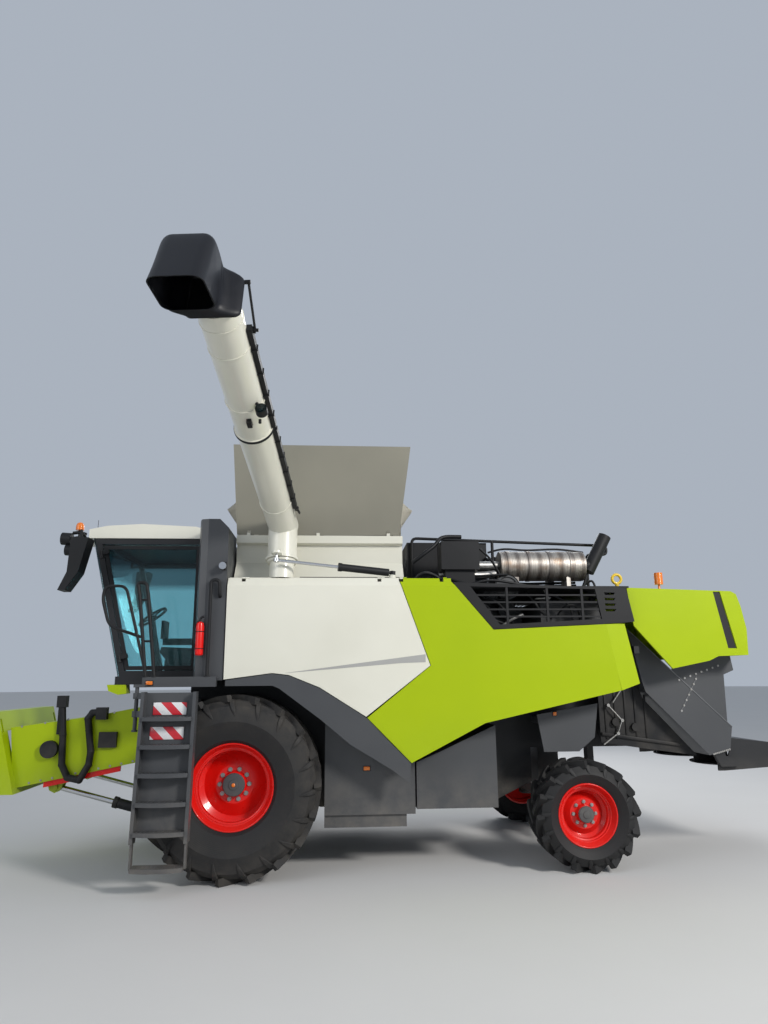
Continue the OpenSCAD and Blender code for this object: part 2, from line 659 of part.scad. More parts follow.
// The door's hinge axis leans with the windscreen pillar, so the door swings clear of the platform
module door_frame() {
    bar = 45;
    y = -cab_half;
    color(black) {
        translate([0, y + 30, 0]) rotate([90, 0, 0]) linear_extrude(30) difference() {
            window_outline(door_gap, door_drop);
            window_outline(door_gap + bar, door_drop);
        }
        door_hinge_frame() for (u = door_hinges) {
            difference() {
                union() {
                    translate([0, 0, u]) cylinder(r = 16, h = 50);
                    box([0, -8, u], [90, 8, u + 50]);
                }
                translate([0, 0, u - 1]) cylinder(r = door_pin_r + fit_gap, h = 44);
            }
            box([50, 0, u], [90, y - door_hinge[1] + 1, u + 50]);
        }
    }
}
module door_glass() {
    color("#3f6a70") translate([0, -cab_half + 20, 0]) rotate([90, 0, 0]) linear_extrude(glass_t)
        window_outline(door_gap + 45 + seat_gap, door_drop);
}
module cab_interior() {
    seat_z = cab_floor_z + 430;
    floor_z = cab_floor_z + seat_gap;
    color("#3a3d3b") {
        box([-1080, -200, floor_z], [-760, 200, cab_floor_z + 200]);
        side_plate([[-1120, seat_z - 70], [-640, seat_z - 90], [-600, seat_z + 640], [-545, seat_z + 650],
            [-540, seat_z - 100], [-620, seat_z - 250], [-1040, seat_z - 250], [-1140, seat_z - 130]], -240, 240);
        side_plate([[-1230, floor_z], [-1150, floor_z], [-1290, cab_floor_z + 720],
            [-1350, cab_floor_z + 700]], -60, 60);
        translate([-1300, 0, cab_floor_z + 740]) rotate([0, -35, 0]) {
            difference() {
                cylinder(r = 200, h = 28);
                translate([0, 0, -1]) cylinder(r = 172, h = 30);
            }
            translate([0, 0, -30]) cylinder(r = 50, h = 50);
            for (a = [90 : 120 : 330]) rotate([0, 0, a]) box([30, -14, 4], [180, 14, 18]);
        }
        box([-1200, 230, seat_z - 20], [-602, 400, seat_z + 60]);
        box([-1260, 280, seat_z + 59], [-1220, 560, seat_z + 300]);
        box([-1235, 300, seat_z - 20], [-1199, 400, seat_z + 61]);
    }
}
module cab_side_panels() {
    x0 = cab_rear_x + 5;
    x1 = panel_front_x - 12;
    round_r = 110;
    out = -panel_y + 20;
    color(slate) difference() {
        union() {
            box([x0, -cab_half + 15, cab_floor_z], [x1 - 10, cab_half - 15, 3560]);
            both_sides() box([x0, -cab_half + 14, 1990], [x1, -body_half - seat_gap, 2100]);
            both_sides() translate([0, 0, 1990]) linear_extrude(1760) polygon([[x0, -cab_half + 20],
                [x1, -cab_half + 20], [x1, out], [x0 + round_r, out], [x0 + 30, out + 30], [x0, out + round_r]]);
        }
        both_sides() side_plate([[x1 - 110, 3760], [x1 + 10, 3640], [x1 + 10, 3760]], out - 10, -cab_half + 30);
    }
}
module cab_pod() {
    top = cab_floor_z - cab_floor_t - seat_gap;
    color(lime) side_plate([[-1530, top], [-1320, top], [-1307, 1850], [-1400, 1838], [-1510, 1880]],
        -cab_half + 5, -cab_half + 165);
}
module platform() {
    low = platform_z - 105;
    hx = ladder_hinge[0];
    hy = ladder_hinge[1];
    color(slate) {
        box([platform_front_x, -platform_y, low], [cab_rear_x, -cab_half - 8, platform_z]);
        box([cab_rear_x - 1, -platform_y, low], [-200, -panel_y + 15, platform_z]);
        box([platform_front_x, -cab_half - 9, low], [cab_rear_x, -body_half - seat_gap, cab_floor_z - cab_floor_t
            - seat_gap]);
        box([hx - 32, hy - 32, low], [platform_front_x + 60, -platform_y + 1, low + 30]);
        translate([hx, hy, low - 420]) cylinder(r = hinge_r, h = 421);
        translate([hx, hy, low - 440]) cylinder(r = 30, h = 20);
    }
}
module handrails() {
    r = 19;
    y = -platform_y + r + 4;
    z0 = platform_z + seat_gap;
    x = platform_front_x + r + 4;
    deck = deck_z + deck_t + seat_gap;
    left_rail_y = -572;
    right_rail_y = 1060;
    loop_w = 92;
    top = z0 + 1000;
    color(black) {
        bent_tube([[x, y, z0], [x, y, top], [x + loop_w, y, top], [x + loop_w, y, z0]], r);
        for (z = [250, 560, 860]) rod_between([x, y, z0 + z], [x + loop_w, y, z0 + z], 12);
        bent_tube([[x, y, z0 + 60], [x - 265, y, z0 + 960], [x - 480, y, z0 + 960], [x - 480, y, z0 + 620],
            [x, y, z0 + 480]], 14);
        bent_tube([[-300, y, z0], [-300, y, z0 + 1020], [-300, -panel_y + 19, z0 + 1020]], r);
        bent_tube([[2020, left_rail_y, deck], [2020, left_rail_y, 3740], [4560, left_rail_y, 3655],
            [4560, left_rail_y, 3540], [4290, left_rail_y, 3540], [4290, left_rail_y, deck]], r);
        rod_between([3060, left_rail_y, deck], [3060, left_rail_y, 3704], r);
        bent_tube([[1980, right_rail_y, deck], [1980, right_rail_y, 3640], [3640, right_rail_y, 3640],
            [3640, right_rail_y, deck]], r);
        rod_between([2820, right_rail_y, deck], [2820, right_rail_y, 3640], r);
    }
}
module ladder() {
    x0 = -900;
    x1 = -350;
    bar = 34;
    depth = 120;
    top_z = 1880;
    low_z = 470;
    top_y = -1800;
    low_y = -1900;
    function inner_y(z) = top_y + (low_y - top_y)*(top_z - z)/(top_z - low_z);
    color(slate) {
        for (x = [x0, x1 - bar])
            cross_section([[top_y, top_z], [low_y, low_z], [low_y - depth, low_z], [top_y - depth, top_z]],
                x, x + bar);
        for (i = [0 : 4]) {
            z = 545 + 265*i;
            box([x0 + bar - 1, inner_y(z) - depth - 20, z], [x1 - bar + 1, inner_y(z) + 10, z + 30]);
        }
        for (i = [0 : 4]) {
            z0 = 575 + 265*i;
            z1 = min(z0 + 235, top_z - 10);
            cross_section([[inner_y(z0) - 12, z0 - 1], [inner_y(z0) - 4, z0 - 1], [inner_y(z1) - 4, z1 + 1],
                [inner_y(z1) - 12, z1 + 1]], x0 + bar - 1, x1 - bar + 1);
        }
        for (x = [x0 + 6, x1 - bar + 6])
            box([x, low_y - 90, 240], [x + 20, low_y - 30, low_z + 1]);
        box([x0 + 25, low_y - 140, 230], [x1 - 27, low_y + 10, 262]);
        for (z = [platform_z - 220, platform_z - 400]) difference() {
            hinge_link(z, x0);
            translate([ladder_hinge[0], ladder_hinge[1], z - 1]) cylinder(r = hinge_r + fit_gap, h = 62);
        }
    }
}
module hinge_link(z, x0) {
    translate([ladder_hinge[0], ladder_hinge[1], z]) cylinder(r = 36, h = 60);
    translate([0, 0, z]) linear_extrude(60) polygon([[ladder_hinge[0] + 10, ladder_hinge[1] - 30],
        [ladder_hinge[0] + 34, ladder_hinge[1] - 5], [x0 + 4, -1806], [x0 + 4, -1860]]);
}
// Feeder house with its header frame and lift cylinders
function feeder_low_z(x) = 1150 + (x + 840)*330/1720;
module feeder_house() {
    side_t = 50;
    inner = feeder_half - side_t;
    x = feeder_pivot[0];
    z = feeder_pivot[2];
    color(lime) {
        difference() {
            union() {
                side_plate([[-840, 1150], [x - 20, 1540], [x + 55, 1585], [x + 60, 1710], [-800, 1745], [-1160, 1700],
                    [-1770, 1590], [-2640, 1480], [-2560, feeder_low_z(-2560)]], -feeder_half, feeder_half);
                side_plate([[-2500, 770], [-2680, 770], [feeder_front_x, 1660], [-2760, 1660]], -feeder_half - 110,
                    feeder_half + 110);
                for (y = [lift_eye[1] - 58, lift_eye[1] + 38]) both_sides()
                    side_plate([[-2240, 940], [-2190, 780], [-2130, 750], [-2070, 780], [-1990, 960]], y, y + 20);
            }
            side_plate([[-1300, 1230], [-1300, 1600], [-1770, 1500], [-3100, 1420], [-3000, 860], [-2400, 900]],
                -inner, inner);
            both_sides() side_plate([[-2590, 850], [-2650, 850], [-2820, 1580], [-2720, 1580]],
                -feeder_half - 80, -feeder_half - 40);
        }
        both_sides() along_y(x, z, -feeder_half - 80, -feeder_half + 1, trunnion_r);
        both_sides() for (y = [lift_eye[1] - 76, lift_eye[1] + 57])
            along_y(lift_eye[0], lift_eye[2], y, y + 19, 34);
    }
}
module feeder_fittings() {
    out = -feeder_half - seat_gap;
    color(black) {
        along_y(-2330, 1150, -feeder_half + 50 + seat_gap, feeder_half - 50 - seat_gap, 170);
        both_sides() along_y(-2180, 1240, out - 70, out, 95);
        box([-1640, out - 50, 1250], [-1440, out, 1420]);
    }
}
// Hydraulic and electric hoses that stay on one body all the way
hose_r = 38;
module feeder_hoses() {
    y = -feeder_half - 45;
    path = [[-2073, y, 1720], [-2040, y, 1397], [-2024, y, 1074], [-1950, y, 935], [-1817, y, 905],
        [-1726, y, 1069], [-1715, y, 1209], [-1754, y, 1448], [-1776, y, 1570], [-1730, y, 1635], [-1620, y, 1650]];
    out = -feeder_half - seat_gap;
    color(black) {
        bent_tube(path, hose_r);
        box([-2125, y - 45, 1700], [-2020, out, 1830]);
        box([-2125, out - 20, 1400], [-2085, out, 1701]);
        box([-1680, y - 42, 1560], [-1560, out, 1695]);
    }
}
module tank_hose() {
    r = 14;
    y = -1300;
    low = ledge_z + 12 + r;
    deck = deck_z + deck_t + seat_gap + r*1.06;
    color(black) bent_tube([[640, y, low], [1870, y, low], [1935, y, deck], [2310, -1200, deck]], r);
}
module safety_strut() {
    low = -2230;
    high = -1390;
    color(red) side_plate([[low, feeder_low_z(low) - 60], [low, feeder_low_z(low) - seat_gap],
        [high, feeder_low_z(high) - seat_gap], [high, feeder_low_z(high) - 60]], -feeder_half + 20,
        -feeder_half + 50);
}
module lift_frame(side) {
    d = lift_eye - lift_pin;
    translate([lift_pin[0], side*lift_pin[1], lift_pin[2]]) rotate([0, -90 + atan2(d[2], -d[0]), 0]) children();
}
module pin_along_y(r, half) { rotate([90, 0, 0]) cylinder(r = r, h = 2*half, center = true); }
module lift_barrels() {
    color(black) for (s = [-1, 1]) lift_frame(s) difference() {
        union() {
            pin_along_y(58, 30);
            box([-26, -28, 0], [26, 28, 160]);
            translate([0, 0, 150]) cylinder(r = barrel_r, h = barrel_len - 150);
            translate([0, 0, barrel_len - 50]) cylinder(r = barrel_r + 8, h = 50);
        }
        pin_along_y(30 + fit_gap, 31);
        translate([0, 0, 320]) cylinder(r = rod_r + fit_gap, h = barrel_len);
    }
}
module lift_rods() {
    color(steel) for (s = [-1, 1]) lift_frame(s) {
        translate([0, 0, barrel_len - rod_inside]) cylinder(r = rod_r, h = lift_len - barrel_len + rod_inside - 20);
        translate([0, 0, lift_len]) pin_along_y(44, 30);
    }
}
// Axles, wheels and rear knuckles
module lift_bracket() {
    for (y = [lift_pin[1] - 58, lift_pin[1] + 38]) side_plate([[-150, 900], [-120, 1000], [120, 1000], [120, 800],
        [-380, 310], [-450, 290], [-510, 320], [-520, 390]], y, y + 20);
    along_y(lift_pin[0], lift_pin[2], lift_pin[1] - 39, lift_pin[1] + 39, 30);
}
module axles() {
    axle_end = kingpin_y - 50;
    color(dark) {
        along_y(0, front_tyre_r, -880, 880, 130);
        both_sides() {
            along_y(0, front_tyre_r, -1120, -760, 220);
            along_y(0, front_tyre_r, -1280, -1119, 130);
            along_y(0, front_tyre_r, -front_track_half - 60, -1279, front_spindle_r);
            box([-120, -600, front_tyre_r + 100], [120, -440, 1140 - seat_gap]);
            lift_bracket();
        }
        difference() {
            union() {
                box([wheelbase - 75, -axle_end, rear_tyre_r - 65], [wheelbase + 75, axle_end, rear_tyre_r + 65]);
                both_sides() translate([wheelbase, -kingpin_y, rear_tyre_r - 110]) cylinder(r = 72, h = 220);
                box([wheelbase - 130, -180, rear_tyre_r + 60], [wheelbase + 130, 180, 1180 - seat_gap]);
            }
            both_sides() translate([wheelbase, -kingpin_y, rear_tyre_r - 120])
                cylinder(r = kingpin_r + fit_gap, h = 240);
        }
        box([wheelbase + 74, -90, rear_tyre_r - 60], [wheelbase + 195, 90, rear_tyre_r + 20]);
        along_y(wheelbase + 230, rear_tyre_r - 84, -380, 380, 42);
        along_y(wheelbase + 230, rear_tyre_r - 84, -950, 950, 19);
        both_sides() translate([wheelbase + 230, -960, rear_tyre_r - 110]) cylinder(r = 34, h = 52);
    }
}
module tyre(r, w, rim_r, lugs) {
    casing = r - lug_h;
    profile = [[rim_r + fit_gap, -w*0.36], [rim_r + 30, -w*0.41], [rim_r + (casing - rim_r)*0.5, -w*0.5],
        [casing - 70, -w*0.47], [casing - 12, -w*0.39], [casing, -w*0.2], [casing, w*0.2],
        [casing - 12, w*0.39], [casing - 70, w*0.47], [rim_r + (casing - rim_r)*0.5, w*0.5],
        [rim_r + 30, w*0.41], [rim_r + fit_gap, w*0.36]];
    color("#1b1b1c") rotate([90, 0, 0]) {
        rotate_extrude() polygon(profile);
        intersection() {
            cylinder(r = r, h = w, center = true, $fn = 96);
            union() for (s = [-1, 1], i = [0 : lugs - 1])
                rotate([0, 0, (i + (s > 0 ? 0.5 : 0))*360/lugs]) translate([casing - 40, 0, s*w*0.245])
                    rotate([s*48, 0, 0]) translate([0, -lug_w/2, -w*0.29]) cube([120, lug_w, w*0.58]);
        }
    }
}
module rim(rim_r, w, hub_r, shaft_r, bore_from) {
    edge = w*0.36;
    bore_r = shaft_r + fit_gap;
    color(red) rotate([90, 0, 0]) rotate_extrude() polygon([
        [rim_r, edge], [rim_r, -edge], [rim_r - 18, -edge], [rim_r - 50, -edge + 40], [rim_r - 50, -40],
        [hub_r + 60, 20], [hub_r + 40, -bore_from], [bore_r, -bore_from], [bore_r, 70], [0, 70], [0, 110],
        [hub_r - 30, 110], [hub_r, 80], [hub_r + 10, 44], [hub_r + 70, 44], [rim_r - 110, -10],
        [rim_r - 50, 30], [rim_r - 50, edge - 50], [rim_r - 18, edge]]);
}
module front_wheel_place(side) { translate([0, side*front_track_half, front_tyre_r]) children(); }
module rear_wheel_place(side) { translate([wheelbase, side*rear_track_half, rear_tyre_r]) children(); }
module front_left_tyre() { front_wheel_place(-1) tyre(front_tyre_r, front_tyre_w, front_rim_r, front_lugs); }
module front_right_tyre() { front_wheel_place(1) tyre(front_tyre_r, front_tyre_w, front_rim_r, front_lugs); }
module rear_left_tyre() { rear_wheel_place(-1) tyre(rear_tyre_r, rear_tyre_w, rear_rim_r, rear_lugs); }
module rear_right_tyre() { rear_wheel_place(1) tyre(rear_tyre_r, rear_tyre_w, rear_rim_r, rear_lugs); }
module front_rim_at(side) {
    front_wheel_place(side) rotate([0, 0, side < 0 ? 0 : 180]) rim(front_rim_r, front_tyre_w, 125, front_spindle_r, 40);
}
module rear_rim_at(side) {
    rear_wheel_place(side) rotate([0, 0, side < 0 ? 0 : 180]) rim(rear_rim_r, rear_tyre_w, 85, rear_spindle_r, 30);
}
module front_left_rim() { front_rim_at(-1); }
module front_right_rim() { front_rim_at(1); }
module rear_left_rim() { rear_rim_at(-1); }
module rear_right_rim() { rear_rim_at(1); }
module left_knuckle() {
    plate_z = 116;
    plate_t = 30;
    outer = 92;
    color(dark) translate([wheelbase, -kingpin_y, rear_tyre_r]) {
        cylinder(r = kingpin_r, h = 2*plate_z + 2, center = true);
        for (z = [plate_z, -plate_z - plate_t]) translate([0, 0, z]) {
            cylinder(r = 70, h = plate_t);
            box([-70, -outer - 30, 0], [70, 0, plate_t]);
        }
        box([-70, -outer - 30, -plate_z - 1], [70, -outer, plate_z + 1]);
        along_y(0, 0, -outer - 60, -outer, 95);
        along_y(0, 0, -(rear_track_half - kingpin_y) - 60, -outer, rear_spindle_r);
        translate([0, 0, -plate_z - plate_t]) linear_extrude(plate_t)
            polygon([[0, -50], [240, 10], [250, 40], [230, 70], [0, 60]]);
    }
}
module right_knuckle() { mirror([0, 1, 0]) left_knuckle(); }

// Unloading auger with its foot, fold cylinder and spout
module auger_axis_frame() {
    translate(auger_pivot) rotate([-auger_tilt, 0, 0]) children();
}
module auger_frame() {
    auger_axis_frame() rotate([0, 0, auger_azimuth]) rotate([0, -auger_rise, 0]) children();
}
module auger_foot() {
    low = ring_w - ring_t - 6;
    color(cream) {
        difference() {
            auger_axis_frame() {
                translate([0, 0, low - 260]) cylinder(r = foot_r, h = 260);
                translate([0, 0, low - ring_t]) cylinder(r = foot_ring_r, h = ring_t);
            }
            translate([0, 0, seat_gap]) tank_outer();
            translate([0, -2000, 2000]) cube([1500, 4000, ledge_z + 1 - 2000]);
            auger_axis_frame() translate([0, 0, low - 70]) cylinder(r = spigot_r + fit_gap, h = 80);
        }
        difference() {
            fold_pin_frame() translate([0, 0, -120]) cylinder(r = 40, h = 94);
            translate([0, 0, seat_gap]) tank_outer();
            tank_outer();
        }
        fold_pin_frame() translate([0, 0, -27]) cylinder(r = fold_pin_r, h = 56);
    }
}
module auger_tube() {
    color(cream) {
        auger_axis_frame() {
            translate([0, 0, ring_w - ring_t]) cylinder(r = ring_r, h = ring_t);
            translate([0, 0, ring_w - ring_t - 60]) cylinder(r = spigot_r, h = 61);
            translate([0, 0, ring_w - 1]) cylinder(r = auger_r - 3, h = 1 - ring_w);
            translate([0, 0, ring_w - ring_t]) rotate([0, 0, crank_angle]) {
                translate([172, -50, 0]) cube([crank_r - 172, 100, ring_t]);
                translate([crank_r, 0, 0]) cylinder(r = 60, h = ring_t);
            }
        }
        auger_frame() {
            sphere(r = auger_r + 4);
            rotate([0, 90, 0]) cylinder(r = auger_r, h = auger_len + 35);
            for (u = [1860, auger_len - 40]) translate([u, 0, 0]) rotate([0, 90, 0])
                cylinder(r = auger_r + 14, h = 36);
            for (y = [-130, 110]) translate([auger_len, 0, 0]) side_plate([[-36, 96], [-36, 190], [-14, 234],
                [8, 234], [14, 215], [8, 185], [-8, 150], [-8, 96]], y, y + 20);
            translate([auger_len, 0, spout_axis_w]) rotate([90, 0, 0]) cylinder(r = 9, h = 258, center = true);
        }
    }
}
module auger_fittings() {
    side = auger_r + seat_gap;
    color(black) auger_frame() {
        for (u = [[420, 1855], [1900, 3150]]) box([u[0], side, -30], [u[1], side + 44, 30]);
        box([auger_len - 350, side, 0], [auger_len - 310, spout_half + 30, 40]);
        rod_between([auger_len - 330, spout_half + 24, 20], [auger_len + 16, spout_half + 24, 176], 10);
    }
}
spout_side = [[24, 208], [90, 248], [410, 264], [spout_lip[0], -spout_lip[1]], [129, -232], [24, -205]];
spout_void = [[-20, 180], [94, 238], [401, 254], [spout_lip[0] + 16, -spout_lip[1] - 60], [90, -330], [90, -193],
    [-20, -193]];
spout_bend = [24, 128];
module spout_plan(in) {
    near = spout_half - in;
    left = -mouth_set - mouth_half + in;
    right = mouth_half - mouth_set - in;
    translate([0, 0, -450]) linear_extrude(750) polygon([[-20, -near], [spout_bend[0], -near],
        [spout_bend[1], left], [700, left], [700, right], [spout_bend[1] - in/2, right],
        [spout_bend[0] - in/2, near], [-20, near]]);
}
module spout() {
    wall = 10;
    color(black) auger_frame() translate([auger_len, 0, 0]) difference() {
        union() {
            difference() {
                intersection() {
                    side_plate(spout_side, -400, 400);
                    spout_plan(0);
                }
                intersection() {
                    side_plate(spout_void, -400, 400);
                    spout_plan(wall);
                }
            }
            side_plate([[0, spout_axis_w + 20], [60, 218], [60, 204], [24, 204], [0, spout_axis_w - 20]], -104, 104);
            translate([0, 0, spout_axis_w]) rotate([90, 0, 0]) cylinder(r = 20, h = 208, center = true);
        }
        translate([0, 0, spout_axis_w]) rotate([90, 0, 0]) cylinder(r = 9 + fit_gap, h = 220, center = true);
    }
}
// Cylinder that swings the auger, between a pin on the tank's ledge and the crank on the auger's ring
module fold_frame() {
    d = fold_eye - fold_pin;
    translate(fold_pin) rotate([0, 0, atan2(d[1], d[0])]) rotate([0, 90 - asin(d[2]/fold_len), 0]) children();
}
module fold_pin_frame() {
    translate(fold_pin) rotate([0, acos(fold_axis[2]), atan2(fold_axis[1], fold_axis[0])]) children();
}
module fold_barrel() {
    color(black) difference() {
        union() {
            fold_pin_frame() translate([0, 0, -20]) cylinder(r = 32, h = 40);
            fold_frame() {
                cylinder(r = 17, h = 60);
                translate([0, 0, 48]) cylinder(r = 42, h = 580);
                translate([0, 0, 590]) cylinder(r = 48, h = 40);
            }
        }
        fold_pin_frame() translate([0, 0, -21]) cylinder(r = fold_pin_r + fit_gap, h = 42);
        fold_frame() translate([0, 0, 100]) cylinder(r = fold_rod_r + fit_gap, h = 640);
    }
}
module fold_rod() {
    color(steel) {
        fold_frame() translate([0, 0, 440]) cylinder(r = fold_rod_r, h = fold_len - 460);
        auger_axis_frame() rotate([0, 0, crank_angle]) translate([crank_r, 0, eye_w]) {
            translate([0, 0, -19]) cylinder(r = 32, h = 38);
            cylinder(r = fold_pin_r, h = ring_w - ring_t - 5 - eye_w);
        }
    }
}
module mirrors() {
    arm = [-1876, -cab_half + 80, 3578];
    head = [-1840, -1330, 3650];
    color(black) both_sides() {
        translate([arm[0], arm[1], 3560]) cylinder(r = 20, h = cab_eaves_z - 3560);
        rod_between(arm, head, 17);
        rod_between(head + [0, 8, 22], head + [20, -20, -160], 15);
        side_plate([[-1902, 3560], [-1710, 3560], [-1795, 3171], [-1922, 2969], [-1998, 2969], [-1915, 3171]],
            -1460, -1250);
    }
}
module lamps() {
    top = 2978.8;
    color("#e8590c") {
        translate([4930, -1200, top]) cylinder(r = 14, h = 91);
        translate([4930, -1200, top + 90]) cylinder(r = 50, h = 140);
    }
}
translate(shift) main_body();
translate(shift) lower_covers();
translate(shift) left_cream_panel();
translate(shift) left_lime_panel();
translate(shift) right_cream_panel();
translate(shift) right_lime_panel();
translate(shift) engine_grilles();
translate(shift) engine();
translate(shift) exhaust_can();
translate(shift) engine_ducts();
translate(shift) rear_hood();
translate(shift) chopper_housing();
translate(shift) rear_frame();
translate(shift) left_rotor();
translate(shift) right_rotor();
translate(shift) grain_tank();
translate(shift) left_tank_lid();
translate(shift) right_tank_lid();
translate(shift) tank_canvas();
translate(shift) cab_shell();
translate(shift) cab_roof();
translate(shift) roof_rear();
translate(shift) cab_glass();
translate(shift) door_frame();
translate(shift) door_glass();
translate(shift) cab_interior();
translate(shift) cab_side_panels();
translate(shift) cab_pod();
translate(shift) platform();
translate(shift) handrails();
translate(shift) ladder();
translate(shift) feeder_house();
translate(shift) feeder_fittings();
translate(shift) feeder_hoses();
translate(shift) tank_hose();
translate(shift) safety_strut();
translate(shift) lift_barrels();
translate(shift) lift_rods();
translate(shift) axles();
translate(shift) front_left_tyre();
translate(shift) front_left_rim();
translate(shift) front_right_tyre();
translate(shift) front_right_rim();
translate(shift) rear_left_tyre();
translate(shift) rear_left_rim();
translate(shift) rear_right_tyre();
translate(shift) rear_right_rim();
translate(shift) left_knuckle();
translate(shift) right_knuckle();
translate(shift) auger_foot();
translate(shift) auger_tube();
translate(shift) auger_fittings();
translate(shift) spout();
translate(shift) fold_barrel();
translate(shift) fold_rod();
translate(shift) mirrors();
translate(shift) lamps();
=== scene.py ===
import bpy
import bmesh
import math
from mathutils import Matrix, Vector


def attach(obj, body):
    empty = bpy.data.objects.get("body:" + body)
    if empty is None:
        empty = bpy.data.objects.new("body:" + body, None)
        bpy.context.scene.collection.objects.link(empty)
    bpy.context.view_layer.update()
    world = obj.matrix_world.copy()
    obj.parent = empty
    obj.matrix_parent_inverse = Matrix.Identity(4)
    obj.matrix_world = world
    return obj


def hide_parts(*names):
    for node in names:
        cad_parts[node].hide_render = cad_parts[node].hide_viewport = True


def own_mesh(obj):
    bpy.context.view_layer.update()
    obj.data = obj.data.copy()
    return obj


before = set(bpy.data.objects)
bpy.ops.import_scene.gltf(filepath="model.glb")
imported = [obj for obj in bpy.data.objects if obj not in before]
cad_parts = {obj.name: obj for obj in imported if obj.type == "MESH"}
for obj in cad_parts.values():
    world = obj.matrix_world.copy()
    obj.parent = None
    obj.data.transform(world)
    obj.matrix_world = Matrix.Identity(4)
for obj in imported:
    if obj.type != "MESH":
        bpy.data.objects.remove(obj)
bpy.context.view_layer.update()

# The harvester stands on a plain pale floor under soft studio light. It is seen from its left side,
# a little below the belt of the side panels, with the wide view that takes in the swung-out auger.
# SHIFT takes the drawing's origin, on the ground under the front axle, to its place in the frame.
SHIFT = Vector((-1.775, 1.743388, 0.0))


def spot(x, y, z):
    """A point of the machine's drawing, in millimetres from the front axle, as metres in the scene."""
    return Vector((x, y, z)) / 1000 + SHIFT


def add_camera():
    """The camera, off the left side. focal_px is its focal length in pixels of a frame frame_px high."""
    yaw, pitch, roll = 0.0702, 0.2289, -0.0078
    focal_px, frame_px, sensor_mm = 710.98, 1024, 32.0
    stand = Vector((1.0416, -9.4773, 2.0044)) + SHIFT
    ahead = Vector((math.sin(yaw) * math.cos(pitch), math.cos(yaw) * math.cos(pitch), math.sin(pitch)))
    right = Vector((math.cos(yaw), -math.sin(yaw), 0))
    turn = Matrix((right, right.cross(ahead), -ahead)).transposed() @ Matrix.Rotation(roll, 3, "Z")
    data = bpy.data.cameras.new("camera")
    data.sensor_fit = "VERTICAL"
    data.sensor_height = sensor_mm
    data.lens = focal_px / frame_px * sensor_mm
    data.clip_end = 200
    camera = bpy.data.objects.new("camera", data)
    camera.matrix_world = Matrix.Translation(stand) @ turn.to_4x4()
    bpy.context.scene.collection.objects.link(camera)
    bpy.context.scene.camera = camera


def add_light(name, place, aim, size, power, warmth=(1, 1, 1)):
    data = bpy.data.lights.new(name, "AREA")
    data.shape = "DISK"
    data.size = size
    data.energy = power
    data.color = warmth
    lamp = bpy.data.objects.new(name, data)
    turn = (place - aim).to_track_quat("Z", "Y").to_matrix()
    lamp.matrix_world = Matrix.Translation(place) @ turn.to_4x4()
    bpy.context.scene.collection.objects.link(lamp)


add_camera()
add_light("key_light", Vector((10, -11, 9.5)), Vector((0, 0, 1.5)), 3.2, 2300, (1.0, 0.97, 0.93))
add_light("fill_light", Vector((-11, -9, 7)), Vector((-1, 0, 1.5)), 8.0, 400)
add_light("back_light", Vector((3, 12, 9)), Vector((0, 0, 2)), 8.0, 700)
sky = bpy.data.worlds.new("studio")
sky.use_nodes = True
sky.node_tree.nodes["Background"].inputs["Color"].default_value = (0.72, 0.8, 0.92, 1)
sky.node_tree.nodes["Background"].inputs["Strength"].default_value = 0.56
bpy.context.scene.world = sky
bpy.context.scene.view_settings.view_transform = "Standard"


# Painted sheet steel: the cream and lime panels, the slate covers and the olive tank lids. The paint is
# sprayed and stoved, with a faint orange peel, and road dust lies thinly on it towards the ground.
class Value:
    """One output in a material, so that shader sums read as plain arithmetic."""

    def __init__(self, finish, socket):
        self.finish, self.socket = finish, socket

    def sum(self, operation, a, b):
        return self.finish.node("ShaderNodeMath", {0: a, 1: b}, operation=operation)

    def __add__(self, other): return self.sum("ADD", self, other)
    def __radd__(self, other): return self.sum("ADD", other, self)
    def __sub__(self, other): return self.sum("SUBTRACT", self, other)
    def __rsub__(self, other): return self.sum("SUBTRACT", other, self)
    def __mul__(self, other): return self.sum("MULTIPLY", self, other)
    def __rmul__(self, other): return self.sum("MULTIPLY", other, self)
    def __truediv__(self, other): return self.sum("DIVIDE", self, other)
    def __rtruediv__(self, other): return self.sum("DIVIDE", other, self)


